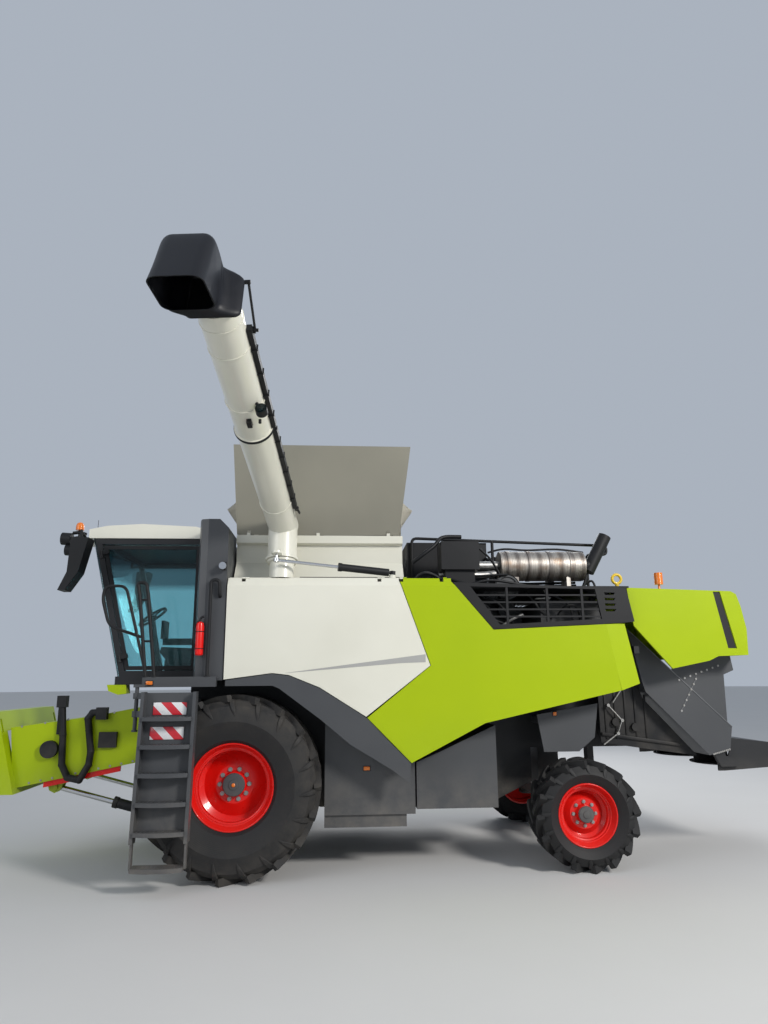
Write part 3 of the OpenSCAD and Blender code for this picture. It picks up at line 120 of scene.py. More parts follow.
class Finish:
    """One material: a node tree round a single surface shader."""

    def __init__(self, name, **fixed):
        self.material = bpy.data.materials.new(name)
        self.material.use_nodes = True
        self.tree = self.material.node_tree
        self.tree.nodes.clear()
        self.surface = self.tree.nodes.new("ShaderNodeBsdfPrincipled")
        end = self.tree.nodes.new("ShaderNodeOutputMaterial")
        self.tree.links.new(self.surface.outputs[0], end.inputs["Surface"])
        for key, value in fixed.items():
            self.surface.inputs[key.replace("_", " ").title().replace("Ior", "IOR")].default_value = value

    def node(self, kind, sockets=None, take=0, **settings):
        """One output of a new node with these settings, and with these values or links in its sockets."""
        new = self.tree.nodes.new(kind)
        for key, value in settings.items():
            setattr(new, key, value)
        for key, value in (sockets or {}).items():
            if isinstance(value, Value):
                self.tree.links.new(value.socket, new.inputs[key])
            else:
                new.inputs[key].default_value = value
        return Value(self, new.outputs[take])

    def place(self):
        return self.node("ShaderNodeTexCoord", take="Object")

    def height(self):
        return self.node("ShaderNodeSeparateXYZ", {0: self.place()}, take=2)

    def noise(self, scale, detail=4.0, rough=0.55, vector=None):
        sockets = {"Vector": vector or self.place(), "Scale": scale, "Detail": detail, "Roughness": rough}
        return self.node("ShaderNodeTexNoise", sockets)

    def step(self, value, low, high):
        return self.node("ShaderNodeMapRange", {0: value, 1: low, 2: high}, clamp=True)

    def blend(self, factor, a, b):
        rgba = [c if isinstance(c, Value) else (*c, 1) for c in (a, b)]
        return self.node("ShaderNodeMix", {0: factor, 6: rgba[0], 7: rgba[1]}, take=2, data_type="RGBA")

    def bump(self, height, strength, distance):
        return self.node("ShaderNodeBump", {"Strength": strength, "Distance": distance, "Height": height})

    def set(self, **links):
        for key, value in links.items():
            self.tree.links.new(value.socket, self.surface.inputs[key.replace("_", " ").title()])
        return self.material


def paint(name, colour, shade, rough=0.32, lacquer=0.35, dust_top=1.1, dust_share=0.5, gloss=0.5):
    """Stoved paint that drifts to a slightly darker shade. Road dust lies on it up to dust_top metres."""
    f = Finish(name, coat_weight=lacquer, coat_roughness=0.08, specular_ior_level=gloss)
    drift = f.step(f.noise(0.9, 3), 0.35, 0.7)
    flow = f.noise(6.0, 5)
    dust = (1 - f.step(f.height(), 0.15, dust_top)) * f.step(f.noise(3.2, 6, 0.65), 0.3, 0.75) * dust_share
    speck = f.step(f.noise(260.0, 2), 0.66, 0.74) * 0.10
    base = f.blend(drift, colour, shade)
    base = f.blend(dust + speck * (1 - f.step(f.height(), 0.4, 3.5)), base, (0.33, 0.29, 0.235))
    peel = f.bump(f.noise(420.0, 2), 0.035, 0.002)
    return f.set(base_color=base, roughness=rough + flow * 0.08 + dust * 0.5, normal=peel)


def coat(material, *names):
    """Gives the material to these solids of the frame."""
    for name in names:
        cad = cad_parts[name]
        cad.data.materials.clear()
        cad.data.materials.append(material)


cream = paint("cream_paint", (0.70, 0.69, 0.60), (0.65, 0.64, 0.55), rough=0.28)
lime = paint("lime_paint", (0.345, 0.455, 0.002), (0.32, 0.43, 0.002), rough=0.30, lacquer=0.12, gloss=0.22)
slate = paint("slate_paint", (0.062, 0.065, 0.070), (0.052, 0.055, 0.060), rough=0.40, lacquer=0.10,
              gloss=0.35)
frame_black = paint("frame_paint", (0.014, 0.015, 0.017), (0.020, 0.021, 0.023), rough=0.44, lacquer=0.05,
                    gloss=0.3, dust_share=0.6)
olive = paint("lid_paint", (0.235, 0.225, 0.180), (0.205, 0.197, 0.158), rough=0.36, lacquer=0.2)
red = paint("red_paint", (0.74, 0.008, 0.005), (0.66, 0.007, 0.004), rough=0.24, lacquer=0.22, gloss=0.3,
            dust_top=0.8, dust_share=0.12)
coat(cream, "left_cream_panel", "right_cream_panel", "grain_tank", "cab_roof", "roof_rear", "auger_foot",
     "auger_tube")
coat(lime, "left_lime_panel", "right_lime_panel", "rear_hood", "feeder_house", "cab_pod")
coat(slate, "lower_covers", "chopper_housing", "cab_side_panels", "platform", "ladder")
coat(frame_black, "main_body", "axles", "left_knuckle", "right_knuckle", "rear_frame", "left_rotor",
     "right_rotor", "cab_shell")
coat(olive, "left_tank_lid", "right_tank_lid")
coat(red, "safety_strut", "front_left_rim", "front_right_rim", "rear_left_rim", "rear_right_rim")


# Moulded and powder-coated black parts: grilles, ducts, door frame, rails, spout and hose covers. The
# surface is grained like cast plastic, and it greys a little where hands and weather reach it.
def moulded(name, colour, rough=0.5, grain=900.0):
    f = Finish(name, specular_ior_level=0.28)
    wear = f.step(f.noise(2.4, 6, 0.6), 0.45, 0.8)
    dust = (1 - f.step(f.height(), 0.2, 2.2)) * f.step(f.noise(4.5, 5), 0.4, 0.8) * 0.3
    base = f.blend(wear, colour, tuple(c * 1.5 + 0.002 for c in colour))
    base = f.blend(dust, base, (0.25, 0.22, 0.18))
    cast = f.bump(f.noise(grain, 2), 0.12, 0.0015)
    return f.set(base_color=base, roughness=rough + wear * 0.12 + dust * 0.3, normal=cast)


black = moulded("black_plastic", (0.009, 0.0095, 0.0108))
coat(black, "engine_grilles", "engine_ducts", "door_frame", "handrails", "feeder_fittings", "lift_barrels",
     "auger_fittings", "spout", "fold_barrel", "mirrors", "feeder_hoses", "tank_hose")


# Tyres of carbon-black rubber, moulded in two halves. Their lugs and lower walls carry pale road dust,
# and fine ribs run round the walls beside the rim.
def tyre_finish(name, hub_x, hub_z):
    f = Finish(name, specular_ior_level=0.35)
    where = f.node("ShaderNodeMapping", {"Vector": f.place(), "Location": (-hub_x, 0, -hub_z)})
    along = f.node("ShaderNodeSeparateXYZ", {0: where})
    up = f.node("ShaderNodeSeparateXYZ", {0: where}, take=2)
    spoke = f.node("ShaderNodeCombineXYZ", {0: along, 2: up})
    reach = f.node("ShaderNodeVectorMath", {0: spoke}, take="Value", operation="LENGTH")
    dust = f.step(f.noise(5.0, 8, 0.7), 0.38, 0.72) * f.step(reach, 0.5, 0.95)
    base = f.blend(dust * 0.34, (0.016, 0.016, 0.0165), (0.155, 0.135, 0.11))
    ribs = f.node("ShaderNodeMath", {0: reach * 420.0}, operation="SINE")
    wall = f.bump(ribs, 0.10, 0.002)
    grain = f.node("ShaderNodeBump", {"Strength": 0.22, "Distance": 0.003, "Height": f.noise(160.0, 4),
                                      "Normal": wall})
    return f.set(base_color=base, roughness=0.62 + dust * 0.28, normal=grain)


# Each axle: its name, then its place in x, half its track and the height of its hubs, in millimetres.
AXLES = (("front", 0, 1350, 920), ("rear", 3750, 1380, 560))
rubber = {}
for axle, x, half_track, hub_z in AXLES:
    hub = spot(x, half_track, hub_z)
    rubber[axle] = tyre_finish(axle + "_tyre_rubber", hub.x, hub.z)
    coat(rubber[axle], axle + "_left_tyre", axle + "_right_tyre")


# Metal parts that are left bare: ground and chromed piston rods, the steel exhaust can with its heat
# stains, and the cast engine block with its oil film.
def bare_rod(name):
    f = Finish(name, metallic=1.0)
    fine = f.noise(90.0, 3, vector=f.node("ShaderNodeMapping", {"Vector": f.place(), "Scale": (1, 14, 14)}))
    base = f.blend(fine, (0.55, 0.56, 0.58), (0.70, 0.71, 0.72))
    return f.set(base_color=base, roughness=0.14 + fine * 0.14, normal=f.bump(fine, 0.05, 0.001))


def heated_steel(name):
    f = Finish(name, metallic=0.9)
    along = f.node("ShaderNodeSeparateXYZ", {0: f.place()})
    bands = f.node("ShaderNodeMath", {0: along * 46.0 + f.noise(4.0, 4) * 2.2}, operation="SINE")
    stain = f.step(bands, -0.4, 0.9)
    base = f.blend(stain, (0.50, 0.47, 0.43), (0.26, 0.235, 0.215))
    base = f.blend(f.step(f.noise(7.0, 6, 0.65), 0.5, 0.78), base, (0.30, 0.20, 0.13))
    scale = f.bump(f.noise(60.0, 4), 0.12, 0.003)
    return f.set(base_color=base, roughness=0.34 + f.noise(22.0, 5) * 0.25, normal=scale)


def cast_block(name):
    f = Finish(name, metallic=0.35)
    film = f.step(f.noise(8.0, 7, 0.7), 0.42, 0.75)
    base = f.blend(film, (0.075, 0.078, 0.082), (0.03, 0.028, 0.026))
    return f.set(base_color=base, roughness=0.68 - film * 0.25, normal=f.bump(f.noise(140.0, 5), 0.35, 0.004))


rod_steel = bare_rod("rod_steel")
can_steel = heated_steel("exhaust_steel")
castings = cast_block("engine_castings")
coat(rod_steel, "lift_rods", "fold_rod")
coat(can_steel, "exhaust_can")
coat(castings, "engine")


# Cab glazing of green-tinted safety glass, darker towards the roof where a sun band is printed, with a
# thin film of dust that the wipers leave near the edges.
def tinted_glass(name, low, high):
    f = Finish(name, transmission_weight=0.96, ior=1.3, specular_ior_level=0.6)
    band = f.step(f.height(), low, high)
    film = f.step(f.noise(3.0, 6, 0.6), 0.5, 0.85)
    base = f.blend(band, (0.50, 0.82, 0.86), (0.10, 0.19, 0.22))
    return f.set(base_color=f.blend(film * 0.12, base, (0.6, 0.62, 0.6)), roughness=0.004 + film * 0.016)


glass = tinted_glass("tinted_glass", 3.24, 3.34)
coat(glass, "cab_glass", "door_glass")


# Driver's seat and controls, seen through the cab's glass: dark woven cloth is stretched over foam on a
# seat that is bolted to the cab's floor.
def threads(f, across, scale, distortion):
    """Crossed threads of a cloth: one set bands along the across axis, and the other along Z."""
    warp, weft = (f.node("ShaderNodeTexWave", {"Vector": f.place(), "Scale": scale, "Distortion": distortion},
                         take=1, bands_direction=way) for way in (across, "Z"))
    return warp * weft


def woven_cloth(name, colour):
    f = Finish(name, sheen_weight=0.35, sheen_roughness=0.5)
    cloth = threads(f, "X", 170.0, 1.5)
    base = f.blend(cloth, tuple(c * 0.6 for c in colour), tuple(min(1, c * 1.35) for c in colour))
    return f.set(base_color=base, roughness=0.82 + cloth * 0.1, normal=f.bump(cloth, 0.4, 0.0015))


coat(woven_cloth("seat_cloth", (0.055, 0.062, 0.056)), "cab_interior")


# Amber warning lamps: each has a ribbed lens of clear orange plastic, moulded in one piece and screwed
# down on its base.
def beacon_lens(name):
    f = Finish(name, coat_weight=0.6, coat_roughness=0.05)
    ribs = f.node("ShaderNodeTexWave", {"Vector": f.place(), "Scale": 24.0, "Distortion": 0.0}, take=1,
                  bands_direction="Z")
    base = f.blend(ribs, (0.62, 0.10, 0.004), (0.90, 0.26, 0.012))
    return f.set(base_color=base, roughness=0.12 + ribs * 0.1, normal=f.bump(ribs, 0.3, 0.004))


amber = beacon_lens("beacon_orange")
coat(amber, "lamps")


# Canvas gussets between the tank lids, at the front and the rear of the tank. Each is one sheet of coated
# cloth, clamped along the tank's rim and along both lids, and it hangs in folds towards the middle.
def coated_canvas(name):
    f = Finish(name, sheen_weight=0.2, sheen_roughness=0.6)
    cloth = threads(f, "Y", 320.0, 0.6)
    soil = f.step(f.noise(3.0, 6, 0.62), 0.4, 0.8)
    base = f.blend(soil, (0.62, 0.59, 0.50), (0.50, 0.47, 0.39))
    return f.set(base_color=f.blend(cloth * 0.4, base, (0.40, 0.38, 0.33)), roughness=0.72 + soil * 0.15,
                 normal=f.bump(cloth, 0.25, 0.001))


def new_piece(name, mesh, material, body):
    """The mesh as a piece of the object, riding on its body."""
    piece = bpy.data.objects.new(name, mesh)
    bpy.context.scene.collection.objects.link(piece)
    piece.data.materials.clear()
    piece.data.materials.append(material)
    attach(piece, body)
    return piece


def made(name, bm, material, body, angle=35, flat_ends=False):
    """A finished piece: faces outwards, and hard edges where the faces meet at more than angle degrees."""
    bmesh.ops.recalc_face_normals(bm, faces=bm.faces[:])
    mesh = bpy.data.meshes.new(name)
    bm.to_mesh(mesh)
    bm.free()
    for face in mesh.polygons:
        face.use_smooth = not flat_ends or len(face.vertices) == 4
    mesh.set_sharp_from_angle(angle=math.radians(angle))
    return new_piece(name, mesh, material, body)


def hump(value, start, rise, end, fall):
    """0 at start, 1 after a rise of this length, and back to 0 over fall before end."""
    return min(1.0, max(0.0, (value - start) / rise), max(0.0, (end - value) / fall))


def gusset(bm, x, outward):
    """One sheet across the tank at x: a grid with soft upright folds and a drawn-in crease at each side."""
    low_half, high_half = 1046, 1218
    low_z, high_z, sag_z = 3661, 4410, 4294
    columns, rows = 96, 26
    grid = []
    for i in range(columns + 1):
        s = -1 + 2 * i / columns
        top = high_z - (high_z - sag_z) * (1 - abs(s)) ** 0.85
        line = []
        for j in range(rows + 1):
            t = j / rows
            half = low_half + (high_half - low_half) * t * (top - low_z) / (high_z - low_z)
            crease = 150 * hump(t, 0.16, 0.30, 0.62, 0.16) * hump(abs(s), 0.62, 0.26, 1.0, 0.10)
            wave = 6 * math.sin(t * math.pi) * (0.5 - 0.5 * math.cos(9 * math.pi * s + 2.2 * t))
            place = spot(x + outward * (wave - crease), s * half, low_z + (top - low_z) * t)
            line.append(bm.verts.new(place))
        grid.append(line)
    for near, far in zip(grid, grid[1:]):
        for j in range(rows):
            corner = (near[j], far[j], far[j + 1], near[j + 1])
            bm.faces.new(corner if outward < 0 else corner[::-1])


bm = bmesh.new()
for x, outward in ((-113, 1), (1838, -1)):
    gusset(bm, x, outward)
bmesh.ops.solidify(bm, geom=bm.faces[:], thickness=0.0015)
canvas = made("tank_gussets", bm, coated_canvas("coated_canvas"), "chassis", angle=180)
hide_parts("tank_canvas")
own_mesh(canvas)


# Wheel nuts. Each is a forged hexagon on a round washer, zinc-plated and screwed tight on the wheel's dish;
# the whole ring is grown on a circle and taken off as one plain mesh.
def plated_steel(name):
    f = Finish(name, metallic=0.9)
    dull = f.step(f.noise(35.0, 4), 0.35, 0.7)
    return f.set(base_color=f.blend(dull, (0.42, 0.42, 0.41), (0.28, 0.27, 0.25)),
                 roughness=0.34 + f.noise(60.0, 3) * 0.2)


def nut_tree(name, material, on_ring):
    """A tree that grows nuts on a ring, which it turns as a whole, or on a row, where it turns each nut."""
    tree = bpy.data.node_groups.new(name, "GeometryNodeTree")
    tree.interface.new_socket("Geometry", in_out="OUTPUT", socket_type="NodeSocketGeometry")
    for label, kind, value in (("Count", "Int", 8), ("Ring Radius", "Float", 0.1),
                               ("Start", "Vector", (0, 0, 0)), ("Step", "Vector", (0, 0, 0)),
                               ("Turn", "Vector", (0, 0, 0)), ("Head Radius", "Float", 0.01),
                               ("Head Height", "Float", 0.01)):
        socket = tree.interface.new_socket(label, in_out="INPUT", socket_type="NodeSocket" + kind)
        socket.default_value = value

    def add(kind, sockets, **settings):
        node = tree.nodes.new(kind)
        for key, value in settings.items():
            setattr(node, key, value)
        for key, value in sockets.items():
            if isinstance(value, bpy.types.NodeSocket):
                tree.links.new(value, node.inputs[key])
            else:
                node.inputs[key].default_value = value
        return node.outputs[0]

    given = tree.nodes.new("NodeGroupInput").outputs
    radius, height = given["Head Radius"], given["Head Height"]
    if on_ring:
        source = add("GeometryNodeMeshCircle", {"Vertices": given["Count"], "Radius": given["Ring Radius"]})
    else:
        source = add("GeometryNodeMeshLine", {"Count": given["Count"], "Offset": given["Step"]})
    head = add("GeometryNodeMeshCylinder", {"Vertices": 6, "Radius": radius, "Depth": height})
    wide = add("ShaderNodeMath", {0: radius, 1: 1.35}, operation="MULTIPLY")
    thin = add("ShaderNodeMath", {0: height, 1: 0.35}, operation="MULTIPLY")
    washer = add("GeometryNodeMeshCylinder", {"Vertices": 14, "Radius": wide, "Depth": thin})
    both = add("GeometryNodeJoinGeometry", {0: head})
    tree.links.new(washer, both.node.inputs[0])
    turn = {"Rotation": given["Turn"]}
    each, whole = ({}, turn) if on_ring else (turn, {})
    copies = add("GeometryNodeInstanceOnPoints", {"Points": source, "Instance": both, **each})
    placed = add("GeometryNodeTransform", {"Geometry": copies, "Translation": given["Start"], **whole})
    real = add("GeometryNodeRealizeInstances", {0: placed})
    plated = add("GeometryNodeSetMaterial", {"Geometry": real, "Material": material})
    tree.links.new(plated, tree.nodes.new("NodeGroupOutput").inputs[0])
    return tree


def grown(name, tree, **values):
    """The plain mesh that a tree grows with these values."""
    holder = bpy.data.objects.new(name, bpy.data.meshes.new(name))
    bpy.context.scene.collection.objects.link(holder)
    growth = holder.modifiers.new("growth", "NODES")
    growth.node_group = tree
    for item in tree.interface.items_tree:
        key = item.name.replace(" ", "_").lower()
        if item.in_out == "INPUT" and key in values:
            growth[item.identifier] = values[key]
    mesh = bpy.data.meshes.new_from_object(holder.evaluated_get(bpy.context.evaluated_depsgraph_get()))
    mesh.name = name
    bpy.data.objects.remove(holder)
    return mesh


zinc = plated_steel("zinc_plated")
nut_ring = nut_tree("nut_ring", zinc, True)
FACING_SIDE = (math.pi / 2, 0, 0)
# Each wheel: its axle, its name, the side it is on and its hub.
WHEELS = [(axle, f"{axle}_{hand}", side, (x, side * half_track, hub_z))
          for axle, x, half_track, hub_z in AXLES for hand, side in (("left", -1), ("right", 1))]
# Nuts of each axle's wheels: how many, and the radius in metres of their ring and of each head.
NUTS = {"front": (10, 0.155, 0.017), "rear": (8, 0.122, 0.014)}
DISH_FACE = 52
for axle, label, side, hub in WHEELS:
    count, ring, head = NUTS[axle]
    face = spot(hub[0], hub[1] + side * DISH_FACE, hub[2])
    mesh = grown(label + "_nuts", nut_ring, count=count, ring_radius=ring, start=tuple(face),
                 turn=FACING_SIDE, head_radius=head, head_height=0.028)
    new_piece(label + "_wheel_nuts", mesh, zinc, label + "_wheel")


# Hub caps: a turned steel cap, painted slate, is pressed over each wheel's bearing. The front pair has a
# small orange plastic plug in the middle.
def marked(bm, places):
    """Mesh points at these places of the machine's drawing."""
    return [bm.verts.new(spot(*place)) for place in places]


def joined(bm, rings, ends=True):
    """Faces from each ring of points to the next, and one over each end."""
    n = len(rings[0])
    faces = [bm.faces.new(rings[0]), bm.faces.new(rings[-1])] if ends else []
    for near, far in zip(rings, rings[1:]):
        faces += [bm.faces.new((near[k], near[(k + 1) % n], far[(k + 1) % n], far[k])) for k in range(n)]
    return faces


def circle(sides):
    return [2 * math.pi * k / sides for k in range(sides)]


def turned(bm, centre, axis, steps, sides, way=1, closed=False, carried=Matrix()):
    """A form turned about the x, y or z axis through centre, from (radius, height) steps in millimetres.
    Heights run backwards where way is -1, closed makes it a ring, and carried takes the form along."""
    rings = []
    for radius, height in steps:
        places = [[radius * math.cos(a), radius * math.sin(a)] for a in circle(sides)]
        for place in places:
            place.insert("xyz".index(axis), way * height)
        rings.append(marked(bm, [carried @ (Vector(centre) + Vector(place)) for place in places]))
    if closed:
        rings.append(rings[0])
    joined(bm, rings, ends=not closed)


CAP_R = {"front": 118, "rear": 86}
for axle, label, side, hub in WHEELS:
    r = CAP_R[axle]
    bm = bmesh.new()
    turned(bm, hub, "y", [(r, 108), (r, 120), (r - 8, 128), (r - 30, 131), (r * 0.45, 132), (r * 0.42, 139),
                          (r * 0.2, 142)], 48, side)
    made(label + "_hub_cap", bm, slate, label + "_wheel", flat_ends=True)
    if axle == "front":
        bm = bmesh.new()
        turned(bm, hub, "y", [(19, 141), (19, 149), (14, 153), (3, 154)], 48, side)
        made(label + "_hub_centre", bm, amber, label + "_wheel", flat_ends=True)


# Wheel rims: the lip is rolled round at its edge, and the well steps down in two bands before the dish. Both
# are spun from one steel sheet and painted with the rim.
# The radius of each axle's lips, and their distance from the wheel's middle.
RIMS = {"front": (435, 288), "rear": (325, 172.8)}
for axle, label, side, hub in WHEELS:
    r, edge = RIMS[axle]
    bm = bmesh.new()
    lip = [(r - 9 + 9 * math.cos(a), edge - 1 + 9 * math.sin(a)) for a in circle(12)]
    well = [(r - 49, edge - 52), (r - 60, edge - 54), (r - 64, edge - 74), (r - 78, edge - 79),
            (r - 83, edge - 122), (r - 49, edge - 130)]
    for steps in (lip, well):
        turned(bm, hub, "y", steps, 96, side, closed=True)
    made(label + "_rim_steps", bm, red, label + "_wheel", 50)


# Shoulder lugs of the tyres: each tread lug runs on over the shoulder and tapers out on the side wall, as it
# comes from the mould. They are of the tyre's own rubber.
ROOT = -8
SWEEP = 0.022
# For each axle: how many, the angle where they start, and sections (radius, distance from the wheel's middle,
# height over the wall, width). The first two sections lie on the tread's edge, the others on the wall.
LUGS = {"front": (19, 11.2, ((868, 306, 20, 62), (862, 320, 24, 60), (805, 376, 17, 54), (752, 384.5, 11, 36),
                             (706, 391.8, 1, 14))),
        "rear": (16, 11.85, ((507, 182, 16, 50), (503, 190, 17, 50), (445, 226, 9, 40),
                             (424, 237.7, 1.6, 20)))}
for axle, label, side, hub in WHEELS:
    count, first, sections = LUGS[axle]
    bm = bmesh.new()
    for i in range(count):
        start = math.radians((i + (0.5 if side < 0 else 0)) * 360 / count - first)
        rings = []
        for k, (r, h, proud, wide) in enumerate(sections):
            out_share, side_share = (0.5, 0.8) if k < 2 else (0.15, 0.98)
            places = []
            for lift, across in ((ROOT, 0.5), (proud * 0.7, 0.46), (proud, 0.36), (proud, -0.36),
                                 (proud * 0.7, -0.46), (ROOT, -0.5)):
                a = start - SWEEP * k + across * wide / r
                out = r + lift * out_share
                places.append((hub[0] + out * math.cos(a), hub[1] + side * (h + lift * side_share),
                               hub[2] + out * math.sin(a)))
            rings.append(marked(bm, places))
        joined(bm, rings)
    made(label + "_shoulder_lugs", bm, rubber[axle], label + "_wheel", 40)


# Spout at the end of the unloading auger: one piece of moulded black rubber-like plastic with wide rounded
# edges. It wraps the tube's end, bends to the front and down, and hangs from the hinge pin on the tube.
# The auger's own frame at rest runs from its elbow: u along the tube, v across it and w upwards.
AUGER = (Matrix.Translation(Vector((440, -1340, 3733))) @ Matrix.Rotation(math.radians(-9.4), 4, "X")
         @ Matrix.Rotation(math.radians(-95), 4, "Z") @ Matrix.Rotation(math.radians(-7.9), 4, "Y"))
TUBE_END = 3430


def on_auger(points):
    """Points (u, v, w) of the auger, in millimetres, as points of the machine's drawing."""
    return [tuple(AUGER @ Vector(p)) for p in points]


def smoothed(points, per):
    """The line through the points, rounded at each of them."""
    line = [Vector(p) for p in points]
    out = []
    for i in range(len(line) - 1):
        a, b, c, d = line[max(i - 1, 0)], line[i], line[i + 1], line[min(i + 2, len(line) - 1)]
        for k in range(per):
            t = k / per
            out.append(0.5 * (2 * b + (c - a) * t + (2 * a - 5 * b + 4 * c - d) * t * t
                              + (3 * b - a - 3 * c + d) * t ** 3))
    return out + [line[-1]]


def round_corners():
    """For each point of a rectangle's four rounded corners, the corner's two signs and the point's angle."""
    return [(sx, sy, math.radians(start + 15 * k))
            for sx, sy, start in ((1, 1, 0), (-1, 1, 90), (-1, -1, 180), (1, -1, 270)) for k in range(7)]


def hood_ring(low, high, corner, inset):
    """The hood's section between a lower and an upper (u, w) point, as auger points; inset lies inside it."""
    half_wide, narrowing, offset, bend_start, bend_long = 205, 10, 130, 24, 104
    reach = (high - low).length
    r = corner - inset
    points = []
    for sx, sy, a in round_corners():
        place = low + (high - low) / reach * ((reach - corner if sy > 0 else corner) + r * math.sin(a))
        bend = min(1.0, max(0.0, (place.x - bend_start) / bend_long))
        bend = bend * bend * (3 - 2 * bend)
        half = half_wide - narrowing * bend
        points.append((TUBE_END + place.x, sx * (half - corner) + r * math.cos(a) - offset * bend, place.y))
    return points


def hood_wall(bm, inset):
    """The rings of one face of the hood's wall, from the tube to the mouth. Both lines are in (u, w)."""
    top_line = smoothed([(24, 208, 0), (92, 244, 0), (240, 262, 0), (352, 258, 0), (418, 226, 0),
                         (448, 150, 0), (497, -90, 0), (551, -354, 0)], 4)
    rings = []
    for k, high in enumerate(top_line):
        low = Vector((24 + 105 * min(1, k / 9), -205 - 27 * min(1, k / 9)))
        rings.append(marked(bm, on_auger(hood_ring(low, high.xy, 52 + 34 * min(1, k / 12), inset))))
    return rings


bm = bmesh.new()
outer, inner = hood_wall(bm, 0), hood_wall(bm, 10)
for rings in (outer, inner, [outer[0], inner[0]], [outer[-1], inner[-1]]):
    joined(bm, rings, ends=False)
hinge_seat = ((-104, 196), (-104, 234), (104, 234), (104, 196))
joined(bm, [marked(bm, on_auger([(TUBE_END + u, v, w) for v, w in hinge_seat])) for u in (0, 60)])
spout_rubber = moulded("spout_plastic", (0.0052, 0.0058, 0.0085), rough=0.40, grain=600.0)
hood = made("spout_hood", bm, spout_rubber, "spout_body", 50)
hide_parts("spout")


# Fittings of the auger's tube: a black steel clamp band round the joint of its two halves, clips and cables
# along it, a work lamp under it, rolled beads in the cream sheet, and the plate that shuts the spout's neck.
def tube(bm, points, radius, sides=12, per=6, open_end=0):
    """A tube along the points. open_end is the depth of a bore in its last end."""
    line = smoothed(points, per) if per > 1 else [Vector(p) for p in points]
    side, rings = None, []
    for i, place in enumerate(line):
        ahead = (line[min(i + 1, len(line) - 1)] - line[max(i - 1, 0)]).normalized()
        side = side or ahead.orthogonal()
        side = (side - ahead * side.dot(ahead)).normalized()
        rings.append((place, side.copy(), ahead.cross(side), radius))
    if open_end:
        place, across, up, r = rings[-1]
        rings.append((place, across, up, radius * 0.9))
        rings.append((place - ahead * open_end, across, up, radius * 0.9))
    joined(bm, [marked(bm, [place + (across * math.cos(a) + up * math.sin(a)) * r for a in circle(sides)])
                for place, across, up, r in rings])


def band(bm, start, end, radius):
    """A ring round the auger's tube, from start to end along it."""
    seat = 170.5
    turned(bm, (0, 0, 0), "x", [(seat, start), (radius, start), (radius, end), (seat, end)], 72, closed=True,
           carried=AUGER)


bm = bmesh.new()
band(bm, 1863, 1893, 187.5)
made("auger_clamp_band", bm, black, "auger")
bm = bmesh.new()
tube(bm, on_auger([(2370, 120, -120), (2370, 160, -170)]), 15, 12, 1)
tube(bm, on_auger([(2400, 168, -196), (2330, 168, -196)]), 52, 28, 1, open_end=16)
tube(bm, on_auger([(2180, 120, -150), (2180, 122, -186)]), 14, 12, 1)
tube(bm, on_auger([(2220, 30, -190), (2140, 30, -190)]), 30, 4, 1)
for u in (640, 900, 1160, 1420, 1680, 2080, 2360, 2640, 2920):
    clip = [(168, 40), (188, 33), (217.5, 32), (217.5, -32), (188, -33), (168, -40)]
    tube(bm, on_auger([(u, v, w) for v, w in clip]), 6, 8, 1)
tube(bm, on_auger([(430, 196, 0), (330, 205, 40), (250, 190, 90), (180, 170, 120), (60, 150, 175)]), 17, 12)
tube(bm, on_auger([(430, 214, -18), (300, 226, -10), (210, 206, 60), (120, 176, 130)]), 12, 12)
made("auger_cable_clips", bm, black, "auger")
bm = bmesh.new()
for k in range(3):
    u = 2405 + 7 * k
    tube(bm, on_auger([(u - 6, 168, -196), (u, 168, -196)]), 47 - 7 * k, 28, 1)
made("auger_lamp_glass", bm, glass, "auger")
bm = bmesh.new()
for start, end, radius in ((2300, 2316, 180), (2960, 2974, 176), (3250, 3262, 175), (560, 574, 178)):
    band(bm, start, end, radius)
made("auger_tube_beads", bm, cream, "auger")
bm = bmesh.new()
outline = [(sv * 148 + 44 * math.cos(a) - 4.5, 1 + sw * 149 + 44 * math.sin(a))
           for sv, sw, a in round_corners()]
joined(bm, [marked(bm, on_auger([(TUBE_END + u, v, w) for v, w in outline])) for u in (35.4, 39)])
made("spout_neck_plate", bm, black, "auger")


# End fittings of the gas strut that damps the spout: turned steel bosses, painted black, bolted to the tube
# and beside the spout's hinge.
bm = bmesh.new()
tube(bm, on_auger([(3100, 229, 20), (3132, 229, 31)]), 9, 12, 1)
tube(bm, on_auger([(3440, 200, 176), (3440, 243, 176)]), 17, 16, 1)
tube(bm, on_auger([(3096, 232, 20), (3096, 256, 20)]), 14, 16, 1)
made("spout_strut_ends", bm, black, "auger")


# Marker boards on the ladder: two retro-reflective sheets with slanted red and white bars, each riveted to a
# back plate of painted steel that is bolted to the ladder's side.
def barred(name):
    f = Finish(name, coat_weight=0.5, coat_roughness=0.1)
    across = f.node("ShaderNodeSeparateXYZ", {0: f.place()})
    wave = f.node("ShaderNodeMath", {0: (across + f.height()) / 0.205}, operation="FRACT")
    cells = f.node("ShaderNodeTexVoronoi", {"Vector": f.place(), "Scale": 150.0})
    white = f.blend(cells, (0.80, 0.80, 0.80), (0.62, 0.63, 0.64))
    bright = f.blend(cells, (0.62, 0.015, 0.03), (0.48, 0.010, 0.02))
    return f.set(base_color=f.blend(f.step(wave, 0.495, 0.505), white, bright), roughness=0.22 + cells * 0.2)


def rail_y(z):
    """How far out the ladder's side rails lie at this height: they lean outwards towards the ground."""
    top_y, top_z, lean = -1800, 1880, 100 / 1410
    return top_y - (top_z - z) * lean


